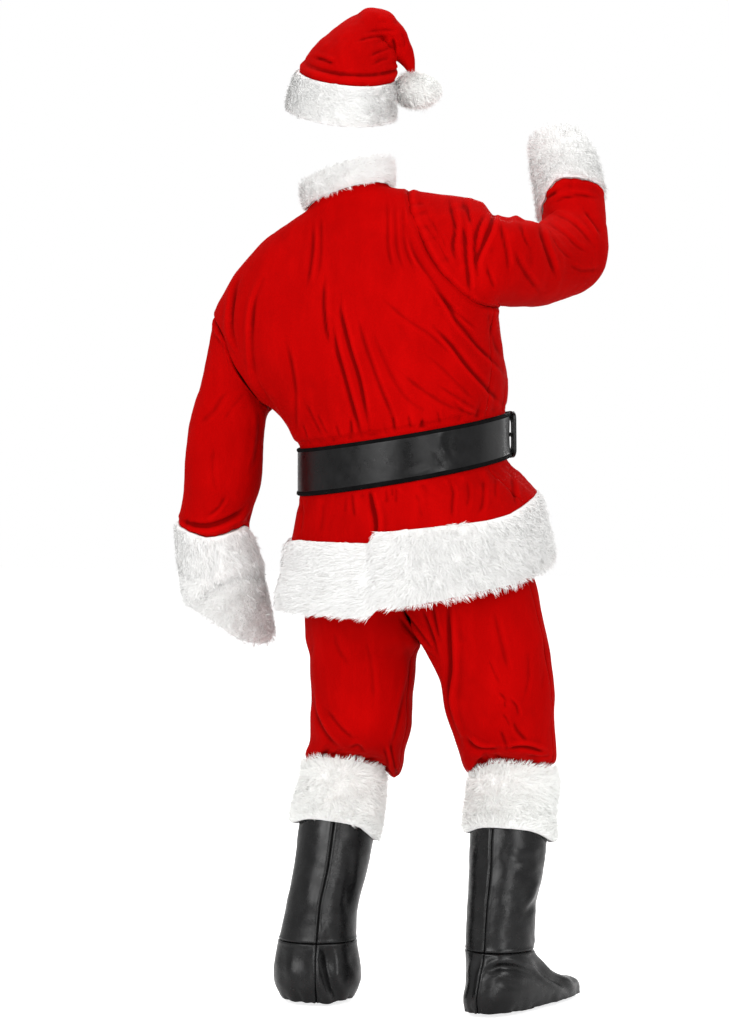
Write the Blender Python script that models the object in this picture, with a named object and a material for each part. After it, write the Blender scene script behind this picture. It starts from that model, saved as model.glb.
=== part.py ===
"""A Santa suit, hollow and held in the pose of a walking wearer seen from behind.

The right sleeve is raised and bent, the left one hangs and swings forward, and the torso is
turned and tipped over the legs.  Every piece a maker cuts and sews is one closed solid with its
own wall.  The forms are worked out in a drafting frame, with X to the wearer's right at the
back, Y forward and Z up from the floor.  An empty, `suit_frame`, then turns the suit so that its
closure faces -Y and its neck is the origin.
"""
import math

import bpy
import numpy as np

for old in list(bpy.data.objects):
    bpy.data.objects.remove(old, do_unlink=True)

# ---------------------------------------------------------------- driving sizes, in metres
CLOTH = 0.0022            # wall of the velour
LEATHERETTE = 0.0020      # wall of the boot covers
FUR_REACH = 0.024         # thickness of the hem fur
CUFF_REACH = 0.018        # thickness of the cuff, boot and hat fur
FRONT_FUR_WIDTH = 0.100
FRONT_FUR_REACH = 0.014
FUR_UNDER_BELT = 0.004
COLLAR_HEIGHT = 0.045
COLLAR_LEAN = (-0.10, 0.0, 1.0)       # way the collar stands up, per unit of its height
COLLAR_FLARE = 0.06                   # widening of the collar towards its free edge, as a share
SEAM = 0.0004             # space kept between two pieces at a seam
EDGE_SEAM = SEAM * 1.25   # the same between two rings sewn edge to edge, whose facets differ
BELT_HEIGHT = 0.090
BELT_THICK = 0.0030
BELT_LIFT = SEAM * 3.25   # space between the belt and the jacket's facets
BINDING_HEIGHT = 0.008
BINDING_THICK = 0.0042
BUCKLE = (0.088, 0.090, 0.006)        # width, height, plate thickness
BUCKLE_WINDOW = (0.052, 0.056)
BUCKLE_CORNER, WINDOW_CORNER, BUCKLE_BEVEL = 0.016, 0.008, 0.0015
PRONG = (0.008, 0.0035, 0.8)          # width, corner radius, thickness as a share of the plate
BUCKLE_AT = 52.0                      # place round the belt, degrees from the right side
BELT_START = BUCKLE_AT - 8.0          # where the belt's end is hidden under the buckle
TAIL = 34.0                           # how far the belt's end runs on past the buckle, degrees
CLOSURE_YAW = 32.0                    # turn of the front closure from straight forward, degrees
NECK = (-0.105, 0.010, 1.519)         # middle of the neck opening in the drafting frame

# ---------------------------------------------------------------- torso sections
# Each ring passes through a left and a right edge point.  Columns: left x, left z, right x,
# right z, y of the middle, back depth and front depth as shares of the half width, rise
# towards the front, yaw in degrees.
BODY_RINGS = (
    (-0.212, 0.886, 0.252, 0.980, 0.050, 0.84, 1.00, 0.14, 26),    # 0  seam of the hem fur
    (-0.203, 0.934, 0.224, 1.011, 0.050, 0.86, 1.06, 0.10, 29),
    (-0.196, 0.972, 0.197, 1.043, 0.050, 0.90, 1.16, 0.07, 32),    # 2  under edge of the belt
    (-0.196, 1.062, 0.194, 1.130, 0.048, 0.90, 1.18, 0.07, 32),    # 3  top edge of the belt
    (-0.208, 1.079, 0.198, 1.151, 0.046, 0.88, 1.16, 0.06, 32),
    (-0.219, 1.102, 0.199, 1.179, 0.044, 0.84, 1.12, 0.04, 31),
    (-0.234, 1.120, 0.196, 1.207, 0.042, 0.80, 1.05, 0.02, 30),
    (-0.249, 1.135, 0.189, 1.231, 0.040, 0.76, 0.97, 0.01, 28),
    (-0.262, 1.147, 0.183, 1.258, 0.038, 0.72, 0.90, 0.00, 26),    # 8  left armpit
    (-0.304, 1.184, 0.180, 1.290, 0.036, 0.66, 0.80, 0.00, 24),
    (-0.338, 1.222, 0.178, 1.322, 0.034, 0.60, 0.70, 0.00, 22),    # 10 right armpit
    (-0.353, 1.267, 0.190, 1.369, 0.032, 0.56, 0.62, 0.00, 20),
    (-0.359, 1.318, 0.180, 1.417, 0.030, 0.52, 0.54, 0.00, 18),    # 12 left shoulder point
    (-0.340, 1.359, 0.150, 1.463, 0.026, 0.50, 0.50, -0.02, 16),
    (-0.308, 1.406, 0.100, 1.502, 0.022, 0.50, 0.48, -0.04, 14),
    (-0.263, 1.451, 0.052, 1.526, 0.018, 0.54, 0.50, -0.06, 12),
    (-0.218, 1.481, 0.013, 1.540, 0.014, 0.64, 0.60, -0.10, 12),   # 16 right shoulder point
    (-0.186, 1.500, -0.019, 1.545, 0.011, 0.84, 0.82, -0.14, 12),
    (-0.178, 1.513, -0.028, 1.553, 0.010, 0.92, 0.92, -0.16, 12),  # 18 neck
)
HEM_LOWER = (-0.212, 0.765, 0.262, 0.857, 0.050, 0.90, 1.02, 0.17, 25)   # lower edge of the hem fur
SECTION_POWER = 2.15                  # 2 is an ellipse, more is squarer
TORSO_RADIUS = 0.17                   # about what the rings measure
BELT_UNDER, BELT_TOP, NECK_END = 2.0, 3.0, 18.0
# Armholes. Columns: lowest ring, highest ring, half angle at the back and at the front.
RIGHT_HOLE = (10.0, 16.0, 52.0, 62.0)
LEFT_HOLE = (8.0, 12.0, 34.0, 34.0)
COLUMNS = 28                          # columns of facets round the torso
LOW_ROWS = (0.0, 0.5, 1.0, 1.5, 2.0, 2.5, 3.0, 3.5, 4.0, 5.0, 6.0, 7.0)
TOP_ROWS = (16.5, 17.0, 18.0)

# ---------------------------------------------------------------- sleeve sections
# Columns: x, y, z of the middle, half width, half depth, and, where a ring isn't square to the
# path, its own axis.
LEFT_SLEEVE = (
    (-0.328, 0.112, 1.146, 0.0690, 0.064),
    (-0.339, 0.115, 1.097, 0.0720, 0.066),
    (-0.345, 0.122, 1.036, 0.0740, 0.066),
    (-0.348, 0.130, 1.000, 0.0730, 0.066),
    (-0.357, 0.144, 0.958, 0.0680, 0.064),
    (-0.368, 0.158, 0.908, 0.0680, 0.062),
)
LEFT_CUFF = (
    (-0.362, 0.172, 0.868, 0.0670, 0.060),
    (-0.350, 0.190, 0.823, 0.0700, 0.062, -0.12, 0.35, -0.92),
    (-0.334, 0.209, 0.744, 0.0730, 0.062, -0.34, 0.35, -0.87),
)
RIGHT_SLEEVE = (
    (0.181, -0.034, 1.421, 0.0985, 0.084),
    (0.215, 0.016, 1.413, 0.0850, 0.084),
    (0.258, 0.070, 1.413, 0.0780, 0.079),
    (0.322, 0.140, 1.446, 0.0780, 0.074),
    (0.330, 0.172, 1.496, 0.0640, 0.066, -0.10, 0.42, 0.90),
    (0.331, 0.200, 1.542, 0.0640, 0.064, -0.36, 0.42, 0.82),
)
RIGHT_CUFF = (
    (0.326, 0.216, 1.578, 0.0590, 0.058, -0.30, 0.42, 0.85),
    (0.320, 0.234, 1.618, 0.0560, 0.056, -0.20, 0.40, 0.90),
    (0.311, 0.252, 1.655, 0.0490, 0.050, -0.16, 0.40, 0.90),
    (0.302, 0.266, 1.680, 0.0410, 0.043, -0.14, 0.38, 0.90),
)
SLEEVE_INTO_HOLE = 0.0014             # sleeve's first ring from the panels' edge, into the hole
SLEEVE_OUT = 0.0022                   # and outward, so that the shoulder's facets clear the panel
SLEEVE_FACETS = 20
SLEEVE_ROWS = 11
CUFF_ROWS = 8

# ---------------------------------------------------------------- trouser sections
PELVIS_YAW = 24.0
# Columns: z, x and y on the seat seam, seam to the middle of a leg, half width, depth.
HIP_ROWS = (
    (1.000, 0.000, 0.052, 0.000, 0.172, 0.150),
    (0.940, 0.006, 0.050, 0.030, 0.150, 0.150),
    (0.870, 0.014, 0.050, 0.060, 0.142, 0.148),
    (0.800, 0.022, 0.050, 0.088, 0.130, 0.136),
    (0.745, 0.028, 0.050, 0.106, 0.120, 0.120),
    (0.698, 0.032, 0.050, 0.1192, 0.119, 0.108),
)
# Columns: z, x, y of the middle, half width, depth, fall to the right, fall to the front.
RIGHT_LEG = (
    (0.660, 0.158, 0.004, 0.110, 0.106, 0.00, 0.00),
    (0.600, 0.180, 0.014, 0.102, 0.102, 0.00, 0.00),
    (0.530, 0.190, 0.030, 0.096, 0.098, 0.00, 0.04),
    (0.490, 0.197, 0.046, 0.092, 0.094, 0.03, 0.12),
    (0.468, 0.202, 0.060, 0.086, 0.088, 0.06, 0.20),
    (0.457, 0.206, 0.070, 0.066, 0.066, 0.08, 0.20),
    (0.440, 0.207, 0.070, 0.0647, 0.0647, 0.08, 0.20),
    (0.400, 0.204, 0.061, 0.0650, 0.0650, 0.08, 0.20),
)
LEFT_LEG = (
    (0.660, -0.084, 0.104, 0.098, 0.100, 0.00, 0.00),
    (0.600, -0.082, 0.110, 0.096, 0.098, 0.00, 0.00),
    (0.530, -0.080, 0.124, 0.098, 0.097, 0.03, 0.04),
    (0.490, -0.081, 0.142, 0.098, 0.095, 0.10, 0.12),
    (0.466, -0.090, 0.160, 0.092, 0.089, 0.16, 0.19),
    (0.457, -0.110, 0.173, 0.066, 0.066, 0.15, 0.19),
    (0.440, -0.113, 0.173, 0.0647, 0.0647, 0.15, 0.19),
    (0.400, -0.117, 0.168, 0.0650, 0.0650, 0.15, 0.19),
)
LEG_COLUMNS = 9
WAISTBAND = (0.034, 0.004, 0.002)     # height, thickness, inset from the legs' form

# ---------------------------------------------------------------- boot cover sections
# Columns: z, x, y of the middle, half width, reach to the heel, reach to the toe, fall to the
# right, fall to the front.
RIGHT_BOOT = (
    (0.440, 0.207, 0.070, 0.068, 0.068, 0.068, 0.08, 0.20),
    (0.380, 0.202, 0.056, 0.071, 0.071, 0.071, 0.08, 0.20),
    (0.320, 0.198, 0.036, 0.073, 0.073, 0.073, 0.08, 0.18),
    (0.255, 0.193, 0.020, 0.070, 0.070, 0.070, 0.05, 0.10),
    (0.190, 0.184, 0.008, 0.065, 0.066, 0.066, 0.02, 0.04),
    (0.120, 0.180, 0.002, 0.063, 0.066, 0.068, 0.00, 0.00),
)
RIGHT_FOOT = (
    (0.119, 0.180, 0.002, 0.063, 0.066, 0.068, 0.00, 0.00),
    (0.088, 0.177, 0.000, 0.064, 0.070, 0.110, 0.00, 0.00),
    (0.060, 0.174, -0.002, 0.064, 0.076, 0.178, 0.00, 0.00),
    (0.034, 0.172, -0.003, 0.062, 0.078, 0.240, 0.00, 0.00),
    (0.008, 0.172, -0.003, 0.052, 0.072, 0.252, 0.00, 0.00),
)
LEFT_BOOT = (
    (0.440, -0.113, 0.173, 0.068, 0.068, 0.068, 0.15, 0.19),
    (0.380, -0.120, 0.164, 0.071, 0.071, 0.071, 0.15, 0.19),
    (0.320, -0.129, 0.152, 0.073, 0.073, 0.073, 0.15, 0.17),
    (0.255, -0.139, 0.138, 0.071, 0.071, 0.071, 0.10, 0.10),
    (0.190, -0.154, 0.126, 0.068, 0.068, 0.068, 0.04, 0.04),
    (0.120, -0.160, 0.120, 0.071, 0.070, 0.070, 0.00, 0.00),
)
LEFT_FOOT = (
    (0.119, -0.160, 0.120, 0.071, 0.070, 0.070, 0.00, 0.00),
    (0.088, -0.161, 0.120, 0.076, 0.074, 0.110, 0.00, 0.00),
    (0.060, -0.161, 0.120, 0.079, 0.080, 0.178, 0.00, 0.00),
    (0.034, -0.161, 0.120, 0.078, 0.080, 0.224, 0.00, 0.00),
    (0.008, -0.161, 0.120, 0.066, 0.072, 0.232, 0.00, 0.00),
)
RIGHT_FOOT_YAW, LEFT_FOOT_YAW = 42.0, 4.0
BOOT_FUR_BOTTOM, BOOT_FUR_TOP = 0.334, 0.452
BOOT_COLUMNS, FOOT_COLUMNS = 10, 12
SHAFT_RADIUS = 0.065                  # about what the shafts and feet measure
BOOT_FUR_LIFT = SEAM * 4              # space between the fur's facets and the shaft's
STRAP = (0.026, 0.0025)               # width and thickness of the strap under each foot
STRAP_AHEAD = 0.05                    # its middle, ahead of the heel's
STRAP_BASE, STRAP_RISE = 0.0032, 0.010   # height of its top over the floor, and rise at its ends
STRAP_REACH = 0.976                   # its half length as a share of the sole's inner half width

# ---------------------------------------------------------------- hat sections
# Columns: x, y, z of the middle, half width, half depth.
HAT_CROWN = (
    (-0.107, 0.026, 1.786, 0.0790, 0.0860),
    (-0.095, 0.028, 1.815, 0.0690, 0.0740),
    (-0.080, 0.030, 1.838, 0.0560, 0.0600),
    (-0.060, 0.032, 1.856, 0.0400, 0.0440),
    (-0.036, 0.034, 1.856, 0.0310, 0.0350),
    (-0.013, 0.036, 1.840, 0.0250, 0.0280),
    (-0.001, 0.038, 1.818, 0.0180, 0.0200),
    (0.009, 0.041, 1.794, 0.0120, 0.0130),
)
HAT_TIP_RADIUS = 0.003
HAT_BAND = (                          # x, y, z, inner half width, inner half depth
    (-0.120, 0.022, 1.690, 0.0940, 0.1060),
    (-0.118, 0.024, 1.716, 0.0915, 0.1020),
    (-0.115, 0.025, 1.738, 0.0880, 0.0970),
    (-0.112, 0.026, 1.756, 0.0840, 0.0920),
)
HAT_FACETS = 22
HAT_ROLL, HAT_PITCH = -6.0, 20.0      # right side down, back of the head down, degrees
POMPOM = (0.031, 0.046, 1.738)
POMPOM_SIZE = (0.037, 0.037, 0.031)
POMPOM_SEAT = (-0.35, -0.10, 0.93)    # direction from the pompom's middle to the hat's tip
POMPOM_GAP = SEAM * 2.5
POMPOM_ROWS, POMPOM_COLUMNS = 9, 16

# ---------------------------------------------------------------- colours
RED = (0.46, 0.004, 0.006)
FUR = (0.82, 0.81, 0.78)
BLACK = (0.012, 0.012, 0.013)
MATT_BLACK = (0.008, 0.008, 0.008)


def material(name, colour, roughness, metallic=0.0):
    """A Principled material."""
    made = bpy.data.materials.new(name)
    made.use_nodes = True
    shader = made.node_tree.nodes["Principled BSDF"]
    shader.inputs["Base Color"].default_value = (*colour, 1.0)
    shader.inputs["Roughness"].default_value = roughness
    shader.inputs["Metallic"].default_value = metallic
    made.diffuse_color = (*colour, 1.0)
    return made


VELOUR = material("red_velour", RED, 0.85)
PLUSH = material("white_plush", FUR, 0.95)
BOOT_SKIN = material("black_leatherette", BLACK, 0.38)
BINDING = material("matt_black_binding", MATT_BLACK, 0.8)
BUCKLE_BLACK = material("black_buckle", BLACK, 0.3)

suit_frame = bpy.data.objects.new("suit_frame", None)
bpy.context.collection.objects.link(suit_frame)
turn = math.radians(180.0 + CLOSURE_YAW)
suit_frame.rotation_euler = (0.0, 0.0, turn)
suit_frame.location = (
    -(NECK[0] * math.cos(turn) - NECK[1] * math.sin(turn)),
    -(NECK[0] * math.sin(turn) + NECK[1] * math.cos(turn)),
    -NECK[2],
)


# ---------------------------------------------------------------- helpers
def blend(rows, place):
    """Value of a table of rows at a running row number, on a smooth curve through them."""
    rows = np.asarray(rows, float)
    k = int(min(max(math.floor(place), 0), len(rows) - 2))
    f = place - k
    before, here = rows[max(k - 1, 0)], rows[k]
    after, beyond = rows[k + 1], rows[min(k + 2, len(rows) - 1)]
    bend = 2 * before - 5 * here + 4 * after - beyond
    return here + 0.5 * f * ((after - before) + f * (bend + f * (3 * (here - after) + beyond - before)))


def unit(vectors):
    """Vectors scaled to length one."""
    length = np.linalg.norm(vectors, axis=-1, keepdims=True)
    return vectors / np.maximum(length, 1e-12)


def grid_normals(grid, ring):
    """Normals of a grid of points; a ring is closed along its second index."""
    along = np.gradient(grid, axis=0)
    if ring:
        across = np.roll(grid, -1, axis=1) - np.roll(grid, 1, axis=1)
    else:
        across = np.gradient(grid, axis=1)
    return unit(np.cross(across, along))


def add_object(name, points, faces, look):
    """Make a named object from points and faces, turned so that its faces look outward."""
    mesh = bpy.data.meshes.new(name)
    mesh.from_pydata([tuple(p) for p in points], [], faces)
    mesh.update()
    mesh.calc_loop_triangles()
    corner = np.array([points[v] for t in mesh.loop_triangles for v in t.vertices]).reshape(-1, 3, 3)
    volume = np.einsum("ij,ij->i", corner[:, 0], np.cross(corner[:, 1], corner[:, 2])).sum()
    if volume < 0:
        mesh.flip_normals()
    mesh.materials.append(look)
    mesh.shade_smooth()
    mesh.set_sharp_from_angle(angle=math.radians(50))
    thing = bpy.data.objects.new(name, mesh)
    bpy.context.collection.objects.link(thing)
    thing.parent = suit_frame
    return thing


def slab(name, look, inner, outer, ring=False, tip=False):
    """A closed wall between two grids of points; a tip closes the last ring."""
    rows, columns = inner.shape[:2]
    count = rows * columns
    points = list(inner.reshape(-1, 3)) + list(outer.reshape(-1, 3))
    around = columns if ring else columns - 1
    faces = []
    for i in range(rows - 1):
        for j in range(around):
            a = i * columns + j
            b = i * columns + (j + 1) % columns
            faces.append((a, a + columns, b + columns, b))
            faces.append((count + a, count + b, count + b + columns, count + a + columns))
    for j in range(around):
        a, b = j, (j + 1) % columns
        faces.append((a, b, count + b, count + a))
        c, d = (rows - 1) * columns + a, (rows - 1) * columns + b
        if tip:
            faces.append((c, len(points), d))
            faces.append((count + d, len(points) + 1, count + c))
        else:
            faces.append((c, count + c, count + d, d))
    if tip:
        points.append(inner[-1].mean(axis=0))
        points.append(outer[-1].mean(axis=0))
    if not ring:
        for i in range(rows - 1):
            a, b = i * columns, (i + 1) * columns
            faces.append((a, count + a, count + b, b))
            a, b = a + columns - 1, b + columns - 1
            faces.append((a, b, count + b, count + a))
    return add_object(name, points, faces, look)


def wall(name, look, grid, normals, low, high, ring=False, tip=False):
    """A wall on a grid of points, between two distances along the normals."""
    low = np.broadcast_to(np.asarray(low, float), grid.shape[:2])[..., None]
    high = np.broadcast_to(np.asarray(high, float), grid.shape[:2])[..., None]
    return slab(name, look, grid + normals * low, grid + normals * high, ring, tip)


# ---------------------------------------------------------------- the torso's form
def signed_power(value):
    return np.sign(value) * np.abs(value) ** (2.0 / SECTION_POWER)


def flat_section(angle, back, front):
    """Plan of a ring of half width one; 0 is the right side and 90 the front."""
    across = signed_power(np.cos(angle))
    deep = signed_power(np.sin(angle))
    return across, deep * np.where(deep > 0, front, back)


def section(row, degrees):
    """Points of one torso ring at angles round it."""
    left_x, left_z, right_x, right_z, y, back, front, rise, yaw = row
    turn_by = math.radians(yaw)
    fit = np.radians(np.arange(0.0, 360.0, 2.0))

    def plan(angle):
        across, deep = flat_section(angle, back, front)
        return (across * math.cos(turn_by) + deep * math.sin(turn_by),
                -across * math.sin(turn_by) + deep * math.cos(turn_by))

    fit_x, fit_y = plan(fit)
    size = (right_x - left_x) / (fit_x.max() - fit_x.min())
    shift = left_x - fit_x.min() * size
    low_y, high_y = fit_y[fit_x.argmin()] * size, fit_y[fit_x.argmax()] * size
    slope = (right_z - left_z - rise * (high_y - low_y)) / (right_x - left_x)
    x, local_y = plan(np.radians(degrees))
    x, local_y = x * size + shift, local_y * size
    z = left_z + slope * (x - left_x) + rise * (local_y - low_y)
    return np.stack([x, y + local_y, z], axis=-1)


def body(degrees, place):
    """Points of the torso at angles round it, at a running ring number."""
    return section(blend(BODY_RINGS, place), degrees)


def body_normals(degrees, place):
    """Outward normals of the torso's form."""
    step, lift = 0.5, 0.03
    low, high = max(place - lift, 0.0), min(place + lift, NECK_END)
    around = body(degrees + step, place) - body(degrees - step, place)
    up = body(degrees, high) - body(degrees, low)
    return unit(np.cross(around, up))


def body_grid(rows, degrees_of):
    """Points and normals of the torso for rows of angles."""
    grid = np.array([body(degrees_of(v), v) for v in rows])
    normals = np.array([body_normals(degrees_of(v), v) for v in rows])
    return grid, normals


def hole_angle(hole, place, front):
    """Half angle that an armhole takes from a panel at a ring."""
    low, high, back_angle, front_angle = hole
    middle, half = (low + high) / 2, (high - low) / 2
    share = max(0.0, 1.0 - ((place - middle) / half) ** 2)
    return (front_angle if front else back_angle) * math.sqrt(share)


def hole_rows(hole):
    """Ring numbers of the corners of the sleeve that is sewn into an armhole."""
    low, high = hole[:2]
    steps = SLEEVE_FACETS // 2
    return [(low + high) / 2 - (high - low) / 2 * math.cos(math.pi * k / steps) for k in range(steps + 1)]


def torso_rows():
    """Ring numbers of the panels' rows, with one at every corner of the sleeves' first rings."""
    rows = sorted(list(LOW_ROWS) + hole_rows(LEFT_HOLE) + hole_rows(RIGHT_HOLE) + list(TOP_ROWS))
    return [v for v, before in zip(rows, [-1.0] + rows) if v - before > 1e-6]


SEAM_ANGLE = math.degrees(SEAM / 2 / TORSO_RADIUS)
BACK_COLUMNS, FRONT_COLUMNS = COLUMNS // 2, COLUMNS // 4


def back_angles(place):
    left = 180.0 + SEAM_ANGLE + hole_angle(LEFT_HOLE, place, False)
    right = 360.0 - SEAM_ANGLE - hole_angle(RIGHT_HOLE, place, False)
    return fitted(np.linspace(180.0, 360.0, BACK_COLUMNS + 1), left, right)


def right_front_angles(place):
    start = SEAM_ANGLE + hole_angle(RIGHT_HOLE, place, True)
    return fitted(np.linspace(0.0, 90.0, FRONT_COLUMNS + 1), start, 90.0 - SEAM_ANGLE)


def left_front_angles(place):
    stop = 180.0 - SEAM_ANGLE - hole_angle(LEFT_HOLE, place, True)
    return fitted(np.linspace(90.0, 180.0, FRONT_COLUMNS + 1), 90.0 + SEAM_ANGLE, stop)


def fitted(angles, start, stop):
    """Even angles squeezed to a panel's own edges."""
    share = (angles - angles[0]) / (angles[-1] - angles[0])
    return start + share * (stop - start)


def build_jacket_panels():
    half = CLOTH / 2
    rows = torso_rows()
    panels = (
        ("jacket_back", back_angles),
        ("jacket_front_right", right_front_angles),
        ("jacket_front_left", left_front_angles),
    )
    for name, angles in panels:
        grid, normals = body_grid(rows, angles)
        wall(name, VELOUR, grid, normals, -half, half)


# ---------------------------------------------------------------- sleeves
def armhole_loop(hole, side, facets):
    """Points round an armhole just outside the panels' edge, from its top round the back."""
    low, high, back_angle, front_angle = hole
    middle, half = (low + high) / 2, (high - low) / 2
    turn_way = -1 if side == 360.0 else 1
    near_edge = 0.93
    loop = []
    for k in range(facets):
        t = 2 * math.pi * k / facets
        place = middle + half * math.cos(t)
        reach = back_angle if math.sin(t) > 0 else front_angle
        degrees = side + turn_way * reach * math.sin(t)
        edge = body(np.array([degrees]), place)[0]
        out = body_normals(np.array([degrees]), place)[0]
        nearer = side + turn_way * reach * math.sin(t) * near_edge
        toward = body(np.array([nearer]), middle + half * math.cos(t) * near_edge)[0] - edge
        toward -= out * toward.dot(out)
        loop.append(edge + unit(toward) * SLEEVE_INTO_HOLE + out * SLEEVE_OUT)
    return np.array(loop)


def tube_rings(sections, first_up, first_middle, facets):
    """Rings round the path through the sections, each turned on from the one before."""
    middles = np.array([row[:3] for row in sections])
    path = np.vstack([first_middle, middles])
    up = np.array(first_up, float)
    rings = []
    for k, row in enumerate(sections):
        ahead = path[min(k + 2, len(path) - 1)]
        axis = unit(np.array(row[5:], float)) if len(row) > 5 else unit(ahead - path[k])
        up = unit(up - axis * up.dot(axis))
        side = np.cross(axis, up)
        side = -side if side[1] > 0 else side
        t = 2 * np.pi * np.arange(facets) / facets
        ring = middles[k] + row[3] * np.cos(t)[:, None] * up + row[4] * np.sin(t)[:, None] * side
        rings.append(ring)
    return rings, up, axis


def resample(rows, count):
    """A smooth grid of `count` rows through a list of key rows."""
    places = np.linspace(0, len(rows) - 1, count)
    return np.array([blend(np.array(rows), p) for p in places])


def outward_normals(grid):
    """Normals of a tube of rings, away from its middle."""
    normals = grid_normals(grid, True)
    away = (normals * (grid - grid.mean(axis=1, keepdims=True))).sum()
    return normals if away > 0 else -normals


def level_ends(normals, first_axis, last_axis):
    """The normals with those of the end rings laid in the rings' own planes."""
    for k, axis in ((0, first_axis), (-1, last_axis)):
        axis = unit(np.array(axis, float))
        normals[k] = unit(normals[k] - (normals[k] @ axis)[:, None] * axis)
    return normals


def build_sleeve(name, hole, side, sections):
    """A sleeve from its armhole to its cuff; returns its last ring, with its up and axis."""
    loop = armhole_loop(hole, side, SLEEVE_FACETS)
    up = unit(loop[0] - loop[SLEEVE_FACETS // 2])
    rings, last_up, axis = tube_rings(sections, up, loop.mean(axis=0), SLEEVE_FACETS)
    grid = resample([loop] + rings, SLEEVE_ROWS)
    normals = outward_normals(grid)
    last = normals[-1] - (normals[-1] @ axis)[:, None] * axis
    normals[-1] = unit(last)
    wall(name, VELOUR, grid, normals, -CLOTH / 2, CLOTH / 2, ring=True)
    return grid[-1], last_up, axis


def fur_profile(count, reach, edge=0.35):
    """Thickness of a fur band along its width: full in the middle, round at both edges."""
    share = np.linspace(0.0, 1.0, count)
    swell = np.sin(np.pi * share) ** 0.45
    return reach * (edge + (1 - edge) * swell)


def build_cuff(name, sections, sleeve_end):
    """A fur cuff sewn on edge to edge at a sleeve's last ring."""
    seam, up, axis = sleeve_end
    first = seam + axis * EDGE_SEAM
    rings, _, last_axis = tube_rings(sections, up, first.mean(axis=0), SLEEVE_FACETS)
    grid = resample([first] + rings, CUFF_ROWS)
    normals = level_ends(outward_normals(grid), axis, last_axis)
    thick = fur_profile(len(grid), CUFF_REACH)[:, None]
    wall(name, PLUSH, grid, normals, -CLOTH / 2, thick, ring=True)


# ---------------------------------------------------------------- fur on the jacket
def build_hem_fur():
    """The wide fur band sewn edge to edge under the skirt of the jacket."""
    angles = np.linspace(0.0, 360.0, COLUMNS, endpoint=False)
    top, lower = np.array(BODY_RINGS[0], float), np.array(HEM_LOWER, float)
    grid = np.array([section(top + (lower - top) * s, angles) for s in np.linspace(0.0, 1.0, 8)])
    grid[0, :, 2] -= SEAM + CLOTH * 0.35
    thick = fur_profile(len(grid), FUR_REACH, 0.5)[:, None]
    wall("hem_fur", PLUSH, grid, outward_normals(grid), 0.0, thick, ring=True)


def build_front_fur():
    """Fur down the closure, thin where the belt crosses it."""
    rows = [v for v in torso_rows() if v <= 17.0]
    share = np.linspace(-1.0, 1.0, 7)

    def angles(place):
        near = body(np.array([90.0, 91.0]), place)
        per_degree = np.linalg.norm(near[1] - near[0])
        return 90.0 + share * min(FRONT_FUR_WIDTH / 2 / per_degree, 60.0)

    grid, normals = body_grid(rows, angles)
    across = 0.45 + 0.55 * np.sqrt(np.maximum(0.0, 1 - share ** 2))
    under = np.array([1.0 if BELT_UNDER - 0.3 <= v <= BELT_TOP + 0.3 else 0.0 for v in rows])
    thick = across[None, :] * (FRONT_FUR_REACH * (1 - under) + FUR_UNDER_BELT * under)[:, None]
    base = CLOTH / 2 + SEAM * 1.5
    wall("front_fur", PLUSH, grid, normals, base, base + thick)


def build_collar():
    angles = np.linspace(0.0, 360.0, COLUMNS, endpoint=False)
    neck = body(angles, NECK_END)
    middle = neck.mean(axis=0)
    rise = np.array(COLLAR_LEAN)
    rows = []
    for s in np.linspace(0.0, 1.0, 7):
        spread = 1.0 + COLLAR_FLARE * s
        rows.append(middle + (neck - middle) * spread + rise * (SEAM + CLOTH / 3 + s * COLLAR_HEIGHT))
    grid = np.array(rows)
    thick = fur_profile(len(grid), CUFF_REACH, 0.5)[:, None]
    wall("collar_fur", PLUSH, grid, outward_normals(grid), 0.0, thick, ring=True)


# ---------------------------------------------------------------- belt
def belt_angles():
    """Angles of the belt's columns, from under the buckle right round to the tail's end."""
    step = 360.0 / COLUMNS / 2
    turns = int(round((360.0 + TAIL) / step))
    return BELT_START + np.arange(turns + 1) * step


def belt_lift(degrees):
    """Distance of the strap's inner face from the torso's form, along the strap."""
    at = np.mod(degrees, 360.0)
    off_closure = np.abs(at - 90.0)
    over_fur = np.clip((30.0 - off_closure) / 10.0, 0.0, 1.0)
    bump = (FUR_UNDER_BELT + SEAM / 2) * over_fur * over_fur * (3 - 2 * over_fur)
    lap = np.clip((degrees - (BELT_START + 360.0 - 24.0)) / 22.0, 0.0, 1.0)
    tail = (BINDING_THICK + SEAM) * lap * lap * (3 - 2 * lap)
    return CLOTH / 2 + BELT_LIFT + bump + tail


def belt_strip(name, look, low, high, thickness):
    """A strip of the belt between two ring numbers, lying on the torso."""
    degrees = belt_angles()
    lift = belt_lift(degrees)[None, :]
    grid, normals = body_grid(np.linspace(low, high, 3), lambda v: degrees)
    wall(name, look, grid, normals, lift, lift + thickness)


def build_belt():
    edge = BINDING_HEIGHT / BELT_HEIGHT
    gap = SEAM / BELT_HEIGHT
    belt_strip("belt_strap", BOOT_SKIN, BELT_UNDER + edge + gap, BELT_TOP - edge - gap, BELT_THICK)
    belt_strip("belt_binding_under", BINDING, BELT_UNDER, BELT_UNDER + edge, BINDING_THICK)
    belt_strip("belt_binding_top", BINDING, BELT_TOP - edge, BELT_TOP, BINDING_THICK)


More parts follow.
